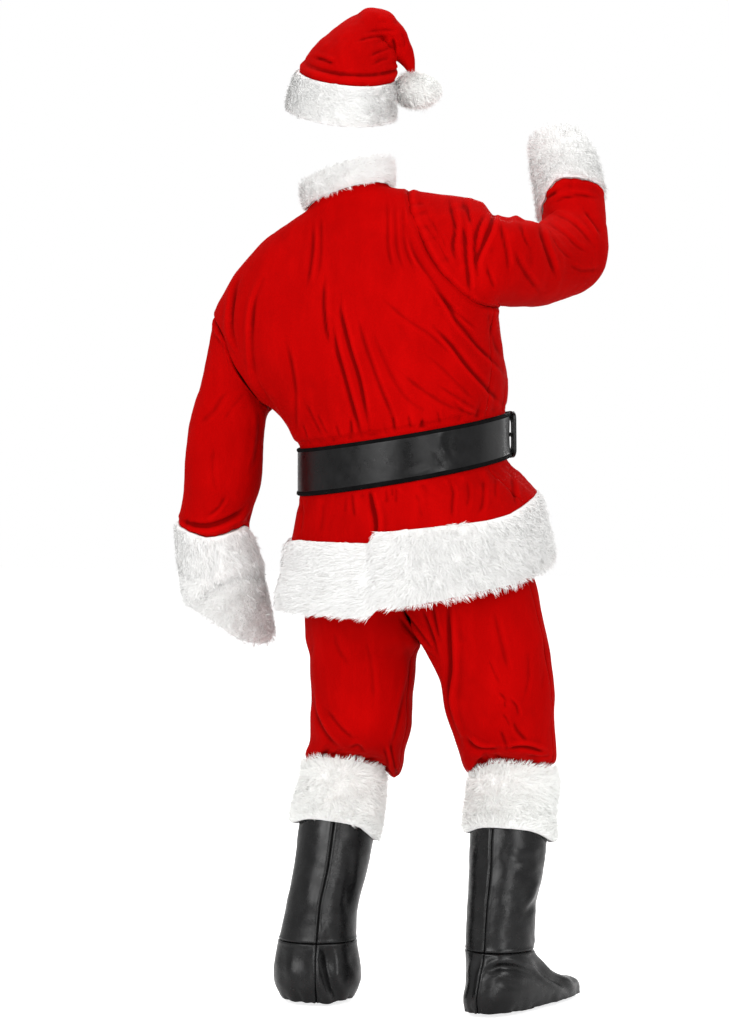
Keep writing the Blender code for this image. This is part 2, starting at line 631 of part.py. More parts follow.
def build_buckle():
    """A plain rectangular frame with rounded corners and a prong across its window."""
    middle_row = (BELT_UNDER + BELT_TOP) / 2
    at = np.array([BUCKLE_AT])
    middle, out = body(at, middle_row)[0], body_normals(at, middle_row)[0]
    up = body(at, BELT_TOP)[0] - body(at, BELT_UNDER)[0]
    up = unit(up - out * up.dot(out))
    side = np.cross(up, out)
    width, height, thick = BUCKLE
    near = BUCKLE_AT + 360.0 + np.linspace(-16.0, 16.0, 9)
    under = [body(near, v) + body_normals(near, v) * (belt_lift(near) + BINDING_THICK)[:, None]
             for v in np.linspace(BELT_UNDER, BELT_TOP, 5)]
    lift = ((np.array(under) - middle) @ out).max() + SEAM

    def outline(w, h, radius, steps=5):
        corners = ((1, 1, 0), (-1, 1, 90), (-1, -1, 180), (1, -1, 270))
        points = []
        for sx, sy, start in corners:
            for k in range(steps):
                a = math.radians(start + 90 * k / (steps - 1))
                points.append((sx * (w / 2 - radius) + radius * math.cos(a),
                               sy * (h / 2 - radius) + radius * math.sin(a)))
        return np.array(points)

    def place(flat, level):
        return middle + flat[:, :1] * side + flat[:, 1:] * up + out * (lift + level)

    bevel = BUCKLE_BEVEL
    outer = outline(width, height, BUCKLE_CORNER)
    window = outline(*BUCKLE_WINDOW, WINDOW_CORNER)
    eased_out = outline(width - 2 * bevel, height - 2 * bevel, BUCKLE_CORNER - bevel)
    eased_in = outline(BUCKLE_WINDOW[0] + 2 * bevel, BUCKLE_WINDOW[1] + 2 * bevel, WINDOW_CORNER + bevel)
    loops = [(window, 0.0), (window, thick - bevel), (eased_in, thick),
             (eased_out, thick), (outer, thick - bevel), (outer, 0.0)]
    rings = [place(flat, level) for flat, level in loops]
    count = len(window)
    points = [p for ring in rings for p in ring]
    faces = []
    for k in range(len(rings)):
        after = (k + 1) % len(rings)
        for j in range(count):
            i = (j + 1) % count
            faces.append((k * count + j, k * count + i, after * count + i, after * count + j))
    add_object("belt_buckle", points, faces, BUCKLE_BLACK)

    prong_width, prong_corner, prong_share = PRONG
    prong_flat = outline(BUCKLE_WINDOW[0] - 2 * SEAM, prong_width, prong_corner, 4)
    low, high = place(prong_flat, 0.0), place(prong_flat, thick * prong_share)
    count = len(low)
    faces = [tuple(range(count)), tuple(range(2 * count - 1, count - 1, -1))]
    faces += [(j, count + j, count + (j + 1) % count, (j + 1) % count) for j in range(count)]
    add_object("belt_prong", list(low) + list(high), faces, BUCKLE_BLACK)


# ---------------------------------------------------------------- trousers
def leg_rows(side, lower):
    """Sections of one leg: z, x, y, half width, depth, falls, and seam to the leg's middle."""
    yaw = math.radians(PELVIS_YAW)
    rows = []
    for z, x, y, seam, half, deep in HIP_ROWS:
        shift = side * seam
        place = (z, x + shift * math.cos(yaw), y - shift * math.sin(yaw))
        rows.append((*place, half, deep, 0.0, 0.0, seam))
    return rows + [(*row, 1.0) for row in lower]


def leg_points(row, side, share, back):
    """Points of half a leg from the outer seam (share 0) to the seat or inner seam (1)."""
    z, x, y, half, deep, fall_right, fall_front, seam = row
    end = math.acos(-min(1.0, (seam - SEAM / 2) / half))
    ease = SEAM / 2 / half
    stop = end - (ease if end > 3.1 else 0.0)
    angle = ease + share * (stop - ease)
    across = side * half * np.cos(angle)
    forward = (-1 if back else 1) * deep * np.sin(angle)
    yaw = math.radians(PELVIS_YAW)
    right = across * math.cos(yaw) + forward * math.sin(yaw)
    ahead = -across * math.sin(yaw) + forward * math.cos(yaw)
    return np.stack([x + right, y + ahead, z - fall_right * right - fall_front * ahead], axis=-1)


def build_trousers():
    """Each leg has a back and a front, from the waist to the end tucked into the boot cover."""
    step = 1.0 / LEG_COLUMNS
    share = np.linspace(-step, 1.0 + step, LEG_COLUMNS + 3)
    for word, side, lower in (("right", 1, RIGHT_LEG), ("left", -1, LEFT_LEG)):
        rows = leg_rows(side, lower)
        middles = np.array([[[row[1], row[2], row[0]]] for row in rows])
        for part, back in (("back", True), ("front", False)):
            wide = np.array([leg_points(row, side, share, back) for row in rows])
            normals = grid_normals(wide, False)
            normals = normals if (normals * (wide - middles)).sum() > 0 else -normals
            wall(f"trouser_{word}_{part}", VELOUR, wide[:, 1:-1], normals[:, 1:-1], -CLOTH, 0.0)


def build_waistband():
    height, thick, inset = WAISTBAND
    z, x, y, _, half, deep = HIP_ROWS[0]
    yaw = math.radians(PELVIS_YAW)
    t = np.linspace(0.0, 2 * np.pi, COLUMNS, endpoint=False)
    across, forward = (half - inset) * np.cos(t), (deep - inset) * np.sin(t)
    ring = np.stack([x + across * math.cos(yaw) + forward * math.sin(yaw),
                     y - across * math.sin(yaw) + forward * math.cos(yaw),
                     np.full_like(t, z + SEAM)], axis=-1)
    grid = np.array([ring + (0, 0, s * height) for s in (0.0, 0.5, 1.0)])
    normals = grid_normals(grid, True)
    wall("trouser_waistband", VELOUR, grid, normals, -thick / 2, thick / 2, ring=True)


# ---------------------------------------------------------------- boot covers
def boot_ring(row, yaw, angles):
    """A section of a boot cover: 0 is the wearer's right, 90 the toe."""
    z, x, y, half, heel, toe, fall_right, fall_front = row
    turn_by = math.radians(yaw)
    across = half * np.cos(angles)
    forward = np.sin(angles)
    forward = np.where(forward > 0, toe, heel) * forward
    right = across * math.cos(turn_by) + forward * math.sin(turn_by)
    ahead = -across * math.sin(turn_by) + forward * math.cos(turn_by)
    return np.stack([x + right, y + ahead, z - fall_right * right - fall_front * ahead], axis=-1)


def boot_wall(name, table, yaw, start, rows, columns):
    """Half of a boot cover's shaft or foot, between its front and back seams."""
    ease = SEAM / 2 / SHAFT_RADIUS
    step = math.pi / columns
    angles = start + step * np.arange(-1, columns + 2)
    angles[1], angles[-2] = start + ease, start + math.pi - ease
    sections = [blend(table, place) for place in np.linspace(0, len(table) - 1, rows)]
    grid = np.array([boot_ring(one, yaw, angles) for one in sections])
    middles = np.array([[[one[1], one[2], one[0]]] for one in sections])
    normals = grid_normals(grid, False)
    normals = normals if (normals * (grid - middles)).sum() > 0 else -normals
    wall(name, BOOT_SKIN, grid[:, 1:-1], normals[:, 1:-1], -LEATHERETTE, 0.0)


def build_boot(word, shaft, foot, yaw):
    """A boot cover: shaft and foot in halves, fur round the top and a strap under the shoe."""
    for part, start in (("outer", -math.pi / 2), ("inner", math.pi / 2)):
        boot_wall(f"boot_{word}_shaft_{part}", shaft, yaw, start, 7, BOOT_COLUMNS)
        boot_wall(f"boot_{word}_foot_{part}", foot, yaw, start, 6, FOOT_COLUMNS)

    angles = -math.pi / 2 + math.pi / BOOT_COLUMNS * np.arange(2 * BOOT_COLUMNS)
    grid = []
    for z in np.linspace(BOOT_FUR_TOP, BOOT_FUR_BOTTOM, 7):
        place = np.interp(-z, [-row[0] for row in shaft], range(len(shaft)))
        one = blend(shaft, place)
        one[0] = z
        one[3:6] += BOOT_FUR_LIFT
        grid.append(boot_ring(one, yaw, angles))
    grid = np.array(grid)
    thick = fur_profile(len(grid), CUFF_REACH, 0.5)[:, None]
    wall(f"boot_{word}_fur", PLUSH, grid, outward_normals(grid), 0.0, thick, ring=True)

    lowest = np.array(foot[-1], float)
    width, thick = STRAP
    turn_by = math.radians(yaw)
    right = np.array([math.cos(turn_by), -math.sin(turn_by), 0.0])
    ahead = np.array([math.sin(turn_by), math.cos(turn_by), 0.0])
    middle = np.array([lowest[1], lowest[2], 0.0]) + ahead * STRAP_AHEAD
    half = (lowest[3] - LEATHERETTE) * STRAP_REACH - SEAM
    sag = []
    for s in np.linspace(-1.0, 1.0, 7):
        height = STRAP_BASE + STRAP_RISE * abs(s) ** 6
        sag.append([middle + right * s * half + ahead * w * width / 2 + np.array([0, 0, height])
                    for w in (-1.0, 1.0)])
    grid = np.array(sag)
    normals = np.zeros_like(grid)
    normals[..., 2] = 1.0
    wall(f"boot_{word}_strap", BINDING, grid, normals, -thick, 0.0)


# ---------------------------------------------------------------- hat
def hat_axis():
    """Direction up through the hat's band."""
    roll, pitch = math.radians(HAT_ROLL), math.radians(HAT_PITCH)
    return unit(np.array([-math.sin(roll), -math.sin(pitch) * math.cos(roll),
                          math.cos(pitch) * math.cos(roll)]))


def hat_rings(sections, facets, tilt):
    """Rings of the hat; the first ones keep the tilt of the head band."""
    middles = np.array([row[:3] for row in sections])
    base = hat_axis()
    rings = []
    for k, row in enumerate(sections):
        path = unit(middles[min(k + 1, len(middles) - 1)] - middles[max(k - 1, 0)])
        share = min(1.0, max(0.0, (k - tilt[0]) / (tilt[1] - tilt[0])))
        axis = unit(base * (1 - share) + path * share)
        back = unit(np.array([0.0, -1.0, 0.0]) + axis * axis[1])
        right = np.cross(back, axis)
        t = 2 * np.pi * np.arange(facets) / facets
        rings.append(middles[k] + row[3] * np.cos(t)[:, None] * right
                     - row[4] * np.sin(t)[:, None] * back)
    return rings


def build_hat():
    axis = hat_axis()
    band = resample(hat_rings(HAT_BAND, HAT_FACETS, (10, 11)), 7)
    normals = level_ends(outward_normals(band), axis, axis)
    thick = fur_profile(len(band), CUFF_REACH, 0.5)[:, None]
    wall("hat_fur", PLUSH, band, normals, 0.0, thick, ring=True)

    edge = band[-1] + normals[-1] * CLOTH / 2 + axis * EDGE_SEAM
    seat = unit(np.array(POMPOM_SEAT))
    tip = np.array(POMPOM) + seat * POMPOM_SIZE + seat * POMPOM_GAP
    sections = (*HAT_CROWN, (*tip, HAT_TIP_RADIUS, HAT_TIP_RADIUS))
    crown = resample([edge] + hat_rings(sections, HAT_FACETS, (0, 3)), 13)
    normals = outward_normals(crown)
    normals[0] = unit(normals[0] - (normals[0] @ axis)[:, None] * axis)
    wall("hat_crown", VELOUR, crown, normals, -CLOTH / 2, CLOTH / 2, ring=True, tip=True)



def build_pompom():
    middle, size = np.array(POMPOM), np.array(POMPOM_SIZE)
    points, faces = [], []
    for i in range(1, POMPOM_ROWS):
        for j in range(POMPOM_COLUMNS):
            u, v = math.pi * i / POMPOM_ROWS, 2 * math.pi * j / POMPOM_COLUMNS
            way = np.array([math.sin(u) * math.cos(v), math.sin(u) * math.sin(v), math.cos(u)])
            points.append(middle + size * way)
    for i in range(POMPOM_ROWS - 2):
        for j in range(POMPOM_COLUMNS):
            a, b = i * POMPOM_COLUMNS + j, i * POMPOM_COLUMNS + (j + 1) % POMPOM_COLUMNS
            faces.append((a, b, b + POMPOM_COLUMNS, a + POMPOM_COLUMNS))
    top, bottom = len(points), len(points) + 1
    points += [middle + size * (0, 0, 1), middle - size * (0, 0, 1)]
    last = (POMPOM_ROWS - 2) * POMPOM_COLUMNS
    for j in range(POMPOM_COLUMNS):
        i = (j + 1) % POMPOM_COLUMNS
        faces.append((top, i, j))
        faces.append((bottom, last + j, last + i))
    add_object("hat_pompom", points, faces, PLUSH)


build_jacket_panels()
build_cuff("cuff_fur_left", LEFT_CUFF, build_sleeve("sleeve_left", LEFT_HOLE, 180.0, LEFT_SLEEVE))
build_cuff("cuff_fur_right", RIGHT_CUFF, build_sleeve("sleeve_right", RIGHT_HOLE, 360.0, RIGHT_SLEEVE))
build_hem_fur()
build_front_fur()
build_collar()
build_belt()
build_buckle()
build_trousers()
build_waistband()
build_boot("right", RIGHT_BOOT, RIGHT_FOOT, RIGHT_FOOT_YAW)
build_boot("left", LEFT_BOOT, LEFT_FOOT, LEFT_FOOT_YAW)
build_hat()
build_pompom()
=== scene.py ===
"""Looks of a Santa suit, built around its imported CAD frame.

The suit's forms are worked out in a drafting frame, with X to the wearer's right, Y forward and Z
up from the floor, and then turned into the row's frame.  Folds are drawn on the plane y = 0 of
that frame, as the suit is seen from 5 m behind it, in units of 1/532 m to the right and down.
"""
import math

import bpy
import numpy as np
from mathutils import Matrix


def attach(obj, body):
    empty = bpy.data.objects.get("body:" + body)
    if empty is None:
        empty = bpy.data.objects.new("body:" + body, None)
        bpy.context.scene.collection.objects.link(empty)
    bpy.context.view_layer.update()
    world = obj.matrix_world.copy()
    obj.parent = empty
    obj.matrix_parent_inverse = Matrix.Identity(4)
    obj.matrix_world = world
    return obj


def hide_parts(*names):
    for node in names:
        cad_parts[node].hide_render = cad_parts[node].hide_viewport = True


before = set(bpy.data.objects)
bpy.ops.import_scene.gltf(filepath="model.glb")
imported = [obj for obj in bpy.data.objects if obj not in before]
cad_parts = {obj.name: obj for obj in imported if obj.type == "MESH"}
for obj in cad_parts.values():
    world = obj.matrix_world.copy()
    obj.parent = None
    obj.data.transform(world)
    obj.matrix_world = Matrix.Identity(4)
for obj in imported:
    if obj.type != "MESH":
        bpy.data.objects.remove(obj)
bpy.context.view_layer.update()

# ---------------------------------------------------------------- driving sizes, in metres
CLOTH, LEATHERETTE, SEAM = 0.0022, 0.0020, 0.0004
EDGE_SEAM = SEAM * 1.25
FUR_REACH, CUFF_REACH, FRONT_FUR_REACH, FRONT_FUR_WIDTH = 0.024, 0.018, 0.014, 0.100
FUR_UNDER_BELT = 0.004
COLLAR_HEIGHT, COLLAR_LEAN, COLLAR_FLARE = 0.045, (-0.10, 0.0, 1.0), 0.06
BELT_HEIGHT, BELT_THICK, BELT_LIFT = 0.090, 0.0030, SEAM * 3.25
BINDING_HEIGHT, BINDING_THICK = 0.008, 0.0042
BUCKLE_AT, TAIL = 52.0, 34.0          # degrees round the torso, and of free end past the start
BELT_START = BUCKLE_AT - 8.0
TURN = math.radians(212.0)            # from the drafting frame to the row's frame
NECK = np.array((-0.105, 0.010, 1.519))
EYE = np.array((-0.074, -5.0, 0.94))  # the camera, level and looking along +Y
UNITS_PER_METRE = 532.0
SHEET_MIDDLE = (364.5, 512.0)         # place of the line of sight on the drawing sheet

# ---------------------------------------------------------------- torso sections
# Each ring passes through a left and a right edge point.  Columns: left x, left z, right x,
# right z, y of the middle, back depth and front depth as shares of the half width, rise
# towards the front, yaw in degrees.
BODY_RINGS = (
    (-0.212, 0.886, 0.252, 0.980, 0.050, 0.84, 1.00, 0.14, 26),    # 0  seam of the hem fur
    (-0.203, 0.934, 0.224, 1.011, 0.050, 0.86, 1.06, 0.10, 29),
    (-0.196, 0.972, 0.197, 1.043, 0.050, 0.90, 1.16, 0.07, 32),    # 2  under edge of the belt
    (-0.196, 1.062, 0.194, 1.130, 0.048, 0.90, 1.18, 0.07, 32),    # 3  top edge of the belt
    (-0.208, 1.079, 0.198, 1.151, 0.046, 0.88, 1.16, 0.06, 32),
    (-0.219, 1.102, 0.199, 1.179, 0.044, 0.84, 1.12, 0.04, 31),
    (-0.234, 1.120, 0.196, 1.207, 0.042, 0.80, 1.05, 0.02, 30),
    (-0.249, 1.135, 0.189, 1.231, 0.040, 0.76, 0.97, 0.01, 28),
    (-0.262, 1.147, 0.183, 1.258, 0.038, 0.72, 0.90, 0.00, 26),    # 8  left armpit
    (-0.304, 1.184, 0.180, 1.290, 0.036, 0.66, 0.80, 0.00, 24),
    (-0.338, 1.222, 0.178, 1.322, 0.034, 0.60, 0.70, 0.00, 22),    # 10 right armpit
    (-0.353, 1.267, 0.190, 1.369, 0.032, 0.56, 0.62, 0.00, 20),
    (-0.359, 1.318, 0.180, 1.417, 0.030, 0.52, 0.54, 0.00, 18),    # 12 left shoulder point
    (-0.340, 1.359, 0.150, 1.463, 0.026, 0.50, 0.50, -0.02, 16),
    (-0.308, 1.406, 0.100, 1.502, 0.022, 0.50, 0.48, -0.04, 14),
    (-0.263, 1.451, 0.052, 1.526, 0.018, 0.54, 0.50, -0.06, 12),
    (-0.218, 1.481, 0.013, 1.540, 0.014, 0.64, 0.60, -0.10, 12),   # 16 right shoulder point
    (-0.186, 1.500, -0.019, 1.545, 0.011, 0.84, 0.82, -0.14, 12),
    (-0.178, 1.513, -0.028, 1.553, 0.010, 0.92, 0.92, -0.16, 12),  # 18 neck
)
HEM_LOWER = (-0.212, 0.765, 0.262, 0.857, 0.050, 0.90, 1.02, 0.17, 25)   # lower edge of the hem fur
SECTION_POWER = 2.15                  # 2 is an ellipse, more is squarer
BELT_UNDER, BELT_TOP, NECK_END = 2.0, 3.0, 18.0    # ring numbers
# Armholes. Columns: lowest ring, highest ring, half angle at the back and at the front.
RIGHT_HOLE = (10.0, 16.0, 52.0, 62.0)
LEFT_HOLE = (8.0, 12.0, 34.0, 34.0)

# ---------------------------------------------------------------- sleeve sections
# Columns: x, y, z of the middle, half width, half depth, and, where a ring isn't square to the
# path, its own axis.
LEFT_SLEEVE = (
    (-0.328, 0.112, 1.146, 0.0690, 0.064),
    (-0.339, 0.115, 1.097, 0.0720, 0.066),
    (-0.345, 0.122, 1.036, 0.0740, 0.066),
    (-0.348, 0.130, 1.000, 0.0730, 0.066),
    (-0.357, 0.144, 0.958, 0.0680, 0.064),
    (-0.368, 0.158, 0.908, 0.0680, 0.062),
)
LEFT_CUFF = (
    (-0.362, 0.172, 0.868, 0.0670, 0.060),
    (-0.350, 0.190, 0.823, 0.0700, 0.062, -0.12, 0.35, -0.92),
    (-0.334, 0.209, 0.744, 0.0730, 0.062, -0.34, 0.35, -0.87),
)
RIGHT_SLEEVE = (
    (0.181, -0.034, 1.421, 0.0985, 0.084),
    (0.215, 0.016, 1.413, 0.0850, 0.084),
    (0.258, 0.070, 1.413, 0.0780, 0.079),
    (0.322, 0.140, 1.446, 0.0780, 0.074),
    (0.330, 0.172, 1.496, 0.0640, 0.066, -0.10, 0.42, 0.90),
    (0.331, 0.200, 1.542, 0.0640, 0.064, -0.36, 0.42, 0.82),
)
RIGHT_CUFF = (
    (0.326, 0.216, 1.578, 0.0590, 0.058, -0.30, 0.42, 0.85),
    (0.320, 0.234, 1.618, 0.0560, 0.056, -0.20, 0.40, 0.90),
    (0.311, 0.252, 1.655, 0.0490, 0.050, -0.16, 0.40, 0.90),
    (0.302, 0.266, 1.680, 0.0410, 0.043, -0.14, 0.38, 0.90),
)
SLEEVE_OUT = 0.0022                   # how far a sleeve's first ring stands out of the armhole

# ---------------------------------------------------------------- trouser sections
PELVIS_YAW = 24.0
# Columns: z, x and y on the seat seam, seam to the middle of a leg, half width, depth.
HIP_ROWS = (
    (1.000, 0.000, 0.052, 0.000, 0.172, 0.150),
    (0.940, 0.006, 0.050, 0.030, 0.150, 0.150),
    (0.870, 0.014, 0.050, 0.060, 0.142, 0.148),
    (0.800, 0.022, 0.050, 0.088, 0.130, 0.136),
    (0.745, 0.028, 0.050, 0.106, 0.120, 0.120),
    (0.698, 0.032, 0.050, 0.1192, 0.119, 0.108),
)
# Columns: z, x, y of the middle, half width, depth, fall to the right, fall to the front.
RIGHT_LEG = (
    (0.660, 0.158, 0.004, 0.110, 0.106, 0.00, 0.00),
    (0.600, 0.180, 0.014, 0.102, 0.102, 0.00, 0.00),
    (0.530, 0.190, 0.030, 0.096, 0.098, 0.00, 0.04),
    (0.490, 0.197, 0.046, 0.092, 0.094, 0.03, 0.12),
    (0.468, 0.202, 0.060, 0.086, 0.088, 0.06, 0.20),
    (0.457, 0.206, 0.070, 0.066, 0.066, 0.08, 0.20),
    (0.440, 0.207, 0.070, 0.0647, 0.0647, 0.08, 0.20),
    (0.400, 0.204, 0.061, 0.0650, 0.0650, 0.08, 0.20),
)
LEFT_LEG = (
    (0.660, -0.084, 0.104, 0.098, 0.100, 0.00, 0.00),
    (0.600, -0.082, 0.110, 0.096, 0.098, 0.00, 0.00),
    (0.530, -0.080, 0.124, 0.098, 0.097, 0.03, 0.04),
    (0.490, -0.081, 0.142, 0.098, 0.095, 0.10, 0.12),
    (0.466, -0.090, 0.160, 0.092, 0.089, 0.16, 0.19),
    (0.457, -0.110, 0.173, 0.066, 0.066, 0.15, 0.19),
    (0.440, -0.113, 0.173, 0.0647, 0.0647, 0.15, 0.19),
    (0.400, -0.117, 0.168, 0.0650, 0.0650, 0.15, 0.19),
)
WAISTBAND = (0.034, 0.004, 0.002)     # height, thickness, inset from the legs' form

# ---------------------------------------------------------------- boot cover sections
# Columns: z, x, y of the middle, half width, reach to the heel, reach to the toe, fall to the
# right, fall to the front.
RIGHT_BOOT = (
    (0.440, 0.207, 0.070, 0.068, 0.068, 0.068, 0.08, 0.20),
    (0.380, 0.202, 0.056, 0.071, 0.071, 0.071, 0.08, 0.20),
    (0.320, 0.198, 0.036, 0.073, 0.073, 0.073, 0.08, 0.18),
    (0.255, 0.193, 0.020, 0.070, 0.070, 0.070, 0.05, 0.10),
    (0.190, 0.184, 0.008, 0.065, 0.066, 0.066, 0.02, 0.04),
    (0.120, 0.180, 0.002, 0.063, 0.066, 0.068, 0.00, 0.00),
)
RIGHT_FOOT = (
    (0.119, 0.180, 0.002, 0.063, 0.066, 0.068, 0.00, 0.00),
    (0.088, 0.177, 0.000, 0.064, 0.070, 0.110, 0.00, 0.00),
    (0.060, 0.174, -0.002, 0.064, 0.076, 0.178, 0.00, 0.00),
    (0.034, 0.172, -0.003, 0.062, 0.078, 0.240, 0.00, 0.00),
    (0.008, 0.172, -0.003, 0.052, 0.072, 0.252, 0.00, 0.00),
)
LEFT_BOOT = (
    (0.440, -0.113, 0.173, 0.068, 0.068, 0.068, 0.15, 0.19),
    (0.380, -0.120, 0.164, 0.071, 0.071, 0.071, 0.15, 0.19),
    (0.320, -0.129, 0.152, 0.073, 0.073, 0.073, 0.15, 0.17),
    (0.255, -0.139, 0.138, 0.071, 0.071, 0.071, 0.10, 0.10),
    (0.190, -0.154, 0.126, 0.068, 0.068, 0.068, 0.04, 0.04),
    (0.120, -0.160, 0.120, 0.071, 0.070, 0.070, 0.00, 0.00),
)
LEFT_FOOT = (
    (0.119, -0.160, 0.120, 0.071, 0.070, 0.070, 0.00, 0.00),
    (0.088, -0.161, 0.120, 0.076, 0.074, 0.110, 0.00, 0.00),
    (0.060, -0.161, 0.120, 0.079, 0.080, 0.178, 0.00, 0.00),
    (0.034, -0.161, 0.120, 0.078, 0.080, 0.224, 0.00, 0.00),
    (0.008, -0.161, 0.120, 0.066, 0.072, 0.232, 0.00, 0.00),
)
RIGHT_FOOT_YAW, LEFT_FOOT_YAW = 42.0, 4.0
BOOT_FUR_BOTTOM, BOOT_FUR_TOP = 0.334, 0.452
BOOT_FUR_LIFT = SEAM * 4              # space between the fur's inner face and the shaft
STRAP = (0.026, 0.0025)               # width and thickness of the strap under each foot
STRAP_AHEAD = 0.05                    # its middle, ahead of the heel's
STRAP_BASE, STRAP_RISE = 0.0032, 0.010   # height of its top over the floor, and rise at its ends
SEAM_TURN = {"right": 0.24, "left": 0.0}     # turn of a boot's seams round its shaft, in radians
STRAP_REACH = 0.976                   # its half length as a share of the sole's inner half width

# ---------------------------------------------------------------- hat sections
# Columns: x, y, z of the middle, half width, half depth.
HAT_CROWN = (
    (-0.107, 0.026, 1.786, 0.0790, 0.0860),
    (-0.095, 0.028, 1.815, 0.0690, 0.0740),
    (-0.080, 0.030, 1.838, 0.0560, 0.0600),
    (-0.060, 0.032, 1.856, 0.0400, 0.0440),
    (-0.036, 0.034, 1.856, 0.0310, 0.0350),
    (-0.013, 0.036, 1.840, 0.0250, 0.0280),
    (-0.001, 0.038, 1.818, 0.0180, 0.0200),
    (0.009, 0.041, 1.794, 0.0120, 0.0130),
)
HAT_TIP_RADIUS = 0.003
HAT_BAND = (                          # x, y, z, inner half width, inner half depth
    (-0.120, 0.022, 1.690, 0.0940, 0.1060),
    (-0.118, 0.024, 1.716, 0.0915, 0.1020),
    (-0.115, 0.025, 1.738, 0.0880, 0.0970),
    (-0.111, 0.026, 1.764, 0.0830, 0.0910),
)
HAT_ROLL, HAT_PITCH = -6.0, 20.0      # right side down, back of the head down, degrees
POMPOM = (0.031, 0.046, 1.738)
POMPOM_SIZE = (0.037, 0.037, 0.031)
POMPOM_SEAT = (-0.35, -0.10, 0.93)    # direction from the pompom's middle to the hat's tip
POMPOM_GAP = SEAM * 2.5
POMPOM_CORE = (1.00, 0.86, 0.80)      # the pile's core as shares of the pompom
POMPOM_SHIFT = (-0.005, 0.0, 0.003)   # how far the core lies from the pompom's middle


# ---------------------------------------------------------------- folds, drawn one by one
# A fold is its depth in mm, its width in units, its lean (see drawn_folds) and its path.
JACKET_BACK_FOLDS = (
    # under the neck and down the middle
    (3.0, 2.4, 0.5, (313, 222), (313, 240), (311, 262), (307, 288)),
    (2.2, 2.2, 0.4, (321, 212), (321, 238), (320, 262), (317, 278)),
    (3.4, 2.3, 0.6, (325, 276), (324, 302), (326, 328), (331, 348)),
    (4.6, 2.4, 0.6, (331, 318), (337, 350), (345, 378), (353, 408), (361, 438)),
    (4.4, 2.3, 0.6, (342, 294), (341, 310), (345, 330), (351, 352), (359, 378), (364, 402), (369, 430)),
    (2.6, 2.4, 0.5, (357, 312), (363, 338), (372, 365), (382, 392), (391, 414), (395, 434)),
    (1.6, 3.0, 0.5, (373, 330), (382, 355), (395, 382), (408, 400), (430, 414)),
    # beside the left armhole
    (2.8, 2.2, -0.5, (239, 282), (233, 302), (232, 325), (236, 346)),
    (3.4, 2.3, -0.6, (246, 268), (236, 286), (231, 308), (231, 330), (238, 352), (250, 368)),
    (4.2, 2.5, -0.7, (263, 280), (255, 302), (252, 328), (252, 356), (256, 378), (265, 396),
     (279, 416), (294, 439)),
    (2.0, 2.2, 0.5, (218, 320), (223, 334), (232, 350), (246, 370)),
    (2.8, 2.4, 0.6, (286, 338), (291, 362), (295, 386), (296, 412), (295, 442)),
    (2.6, 2.2, 0.6, (306, 402), (313, 418), (322, 436)),
    (2.2, 2.0, 0.6, (317, 413), (322, 424), (328, 436)),
    # right shoulder
    (2.8, 2.1, 0.5, (387, 198), (387, 225), (388, 250), (393, 272)),
    (2.4, 2.0, 0.5, (394, 200), (395, 226), (397, 250), (404, 274)),
    (2.2, 2.0, 0.5, (402, 200), (403, 226), (406, 250), (416, 276)),
    (3.8, 2.3, -0.6, (405, 226), (416, 256), (432, 280), (445, 300), (458, 320), (472, 337), (486, 354)),
    (2.4, 2.1, -0.5, (418, 268), (435, 290), (452, 308), (468, 322), (482, 332)),
    # down to the right end of the belt
    (5.2, 2.4, -0.7, (433, 326), (452, 346), (468, 366), (485, 386), (503, 404)),
    (3.2, 2.3, -0.6, (445, 302), (458, 325), (475, 343), (492, 360), (506, 376)),
    (2.8, 2.3, 0.5, (488, 306), (491, 325), (495, 342), (502, 360)),
    (1.8, 2.6, -0.4, (378, 294), (405, 318), (432, 336), (458, 360), (478, 384), (494, 402)),
    (1.8, 2.6, -0.4, (400, 372), (420, 388), (445, 404), (468, 414)),
    (1.8, 2.4, -0.4, (436, 384), (458, 398), (482, 412)),
    (1.4, 2.4, -0.4, (424, 352), (444, 370), (462, 388), (480, 406)),
    # at the belt
    (2.6, 1.8, 0.6, (350, 418), (352, 436)),
    (2.4, 1.8, 0.6, (393, 416), (395, 431)),
    (2.2, 1.8, 0.6, (408, 414), (411, 429)),
    (2.2, 1.8, -0.5, (423, 420), (419, 430)),
    (2.0, 1.8, 0.6, (437, 410), (440, 425)),
    (2.2, 1.8, 0.6, (303, 424), (307, 440)),
    (2.0, 1.8, 0.6, (336, 424), (340, 438)),
    (1.8, 1.6, 0.5, (452, 400), (462, 410), (475, 416)),
    # broad waves
    (1.6, 9.0, 0.3, (380, 290), (396, 318), (410, 350)),
    (1.6, 9.0, -0.3, (288, 226), (282, 256), (276, 290)),
    # skirt
    (6.5, 2.6, 0.8, (369, 488), (372, 503), (375, 518), (376, 532), (374, 546)),
    (2.4, 2.0, 0.5, (352, 490), (353, 504), (355, 518)),
    (1.6, 2.0, 0.5, (346, 496), (345, 514)),
    (2.2, 1.6, 0.5, (386, 486), (387, 506)),
    (2.0, 1.5, 0.5, (392, 486), (392, 498)),
    (2.0, 1.6, 0.5, (396, 485), (396, 506)),
    (2.6, 2.2, 0.5, (299, 498), (302, 514), (300, 538)),
    (1.6, 2.6, 0.4, (324, 500), (320, 538)),
    (2.8, 2.1, 0.5, (448, 478), (453, 492), (452, 506), (452, 520)),
    (2.0, 2.0, 0.5, (466, 478), (469, 494), (466, 508)),
    (2.6, 2.2, 0.5, (483, 476), (483, 500), (477, 512)),
    (1.6, 1.8, 0.5, (495, 476), (496, 496)),
    (2.8, 2.2, 0.6, (511, 474), (515, 494), (517, 502)),
    (1.4, 3.0, 0.4, (415, 490), (420, 508), (421, 524)),
)
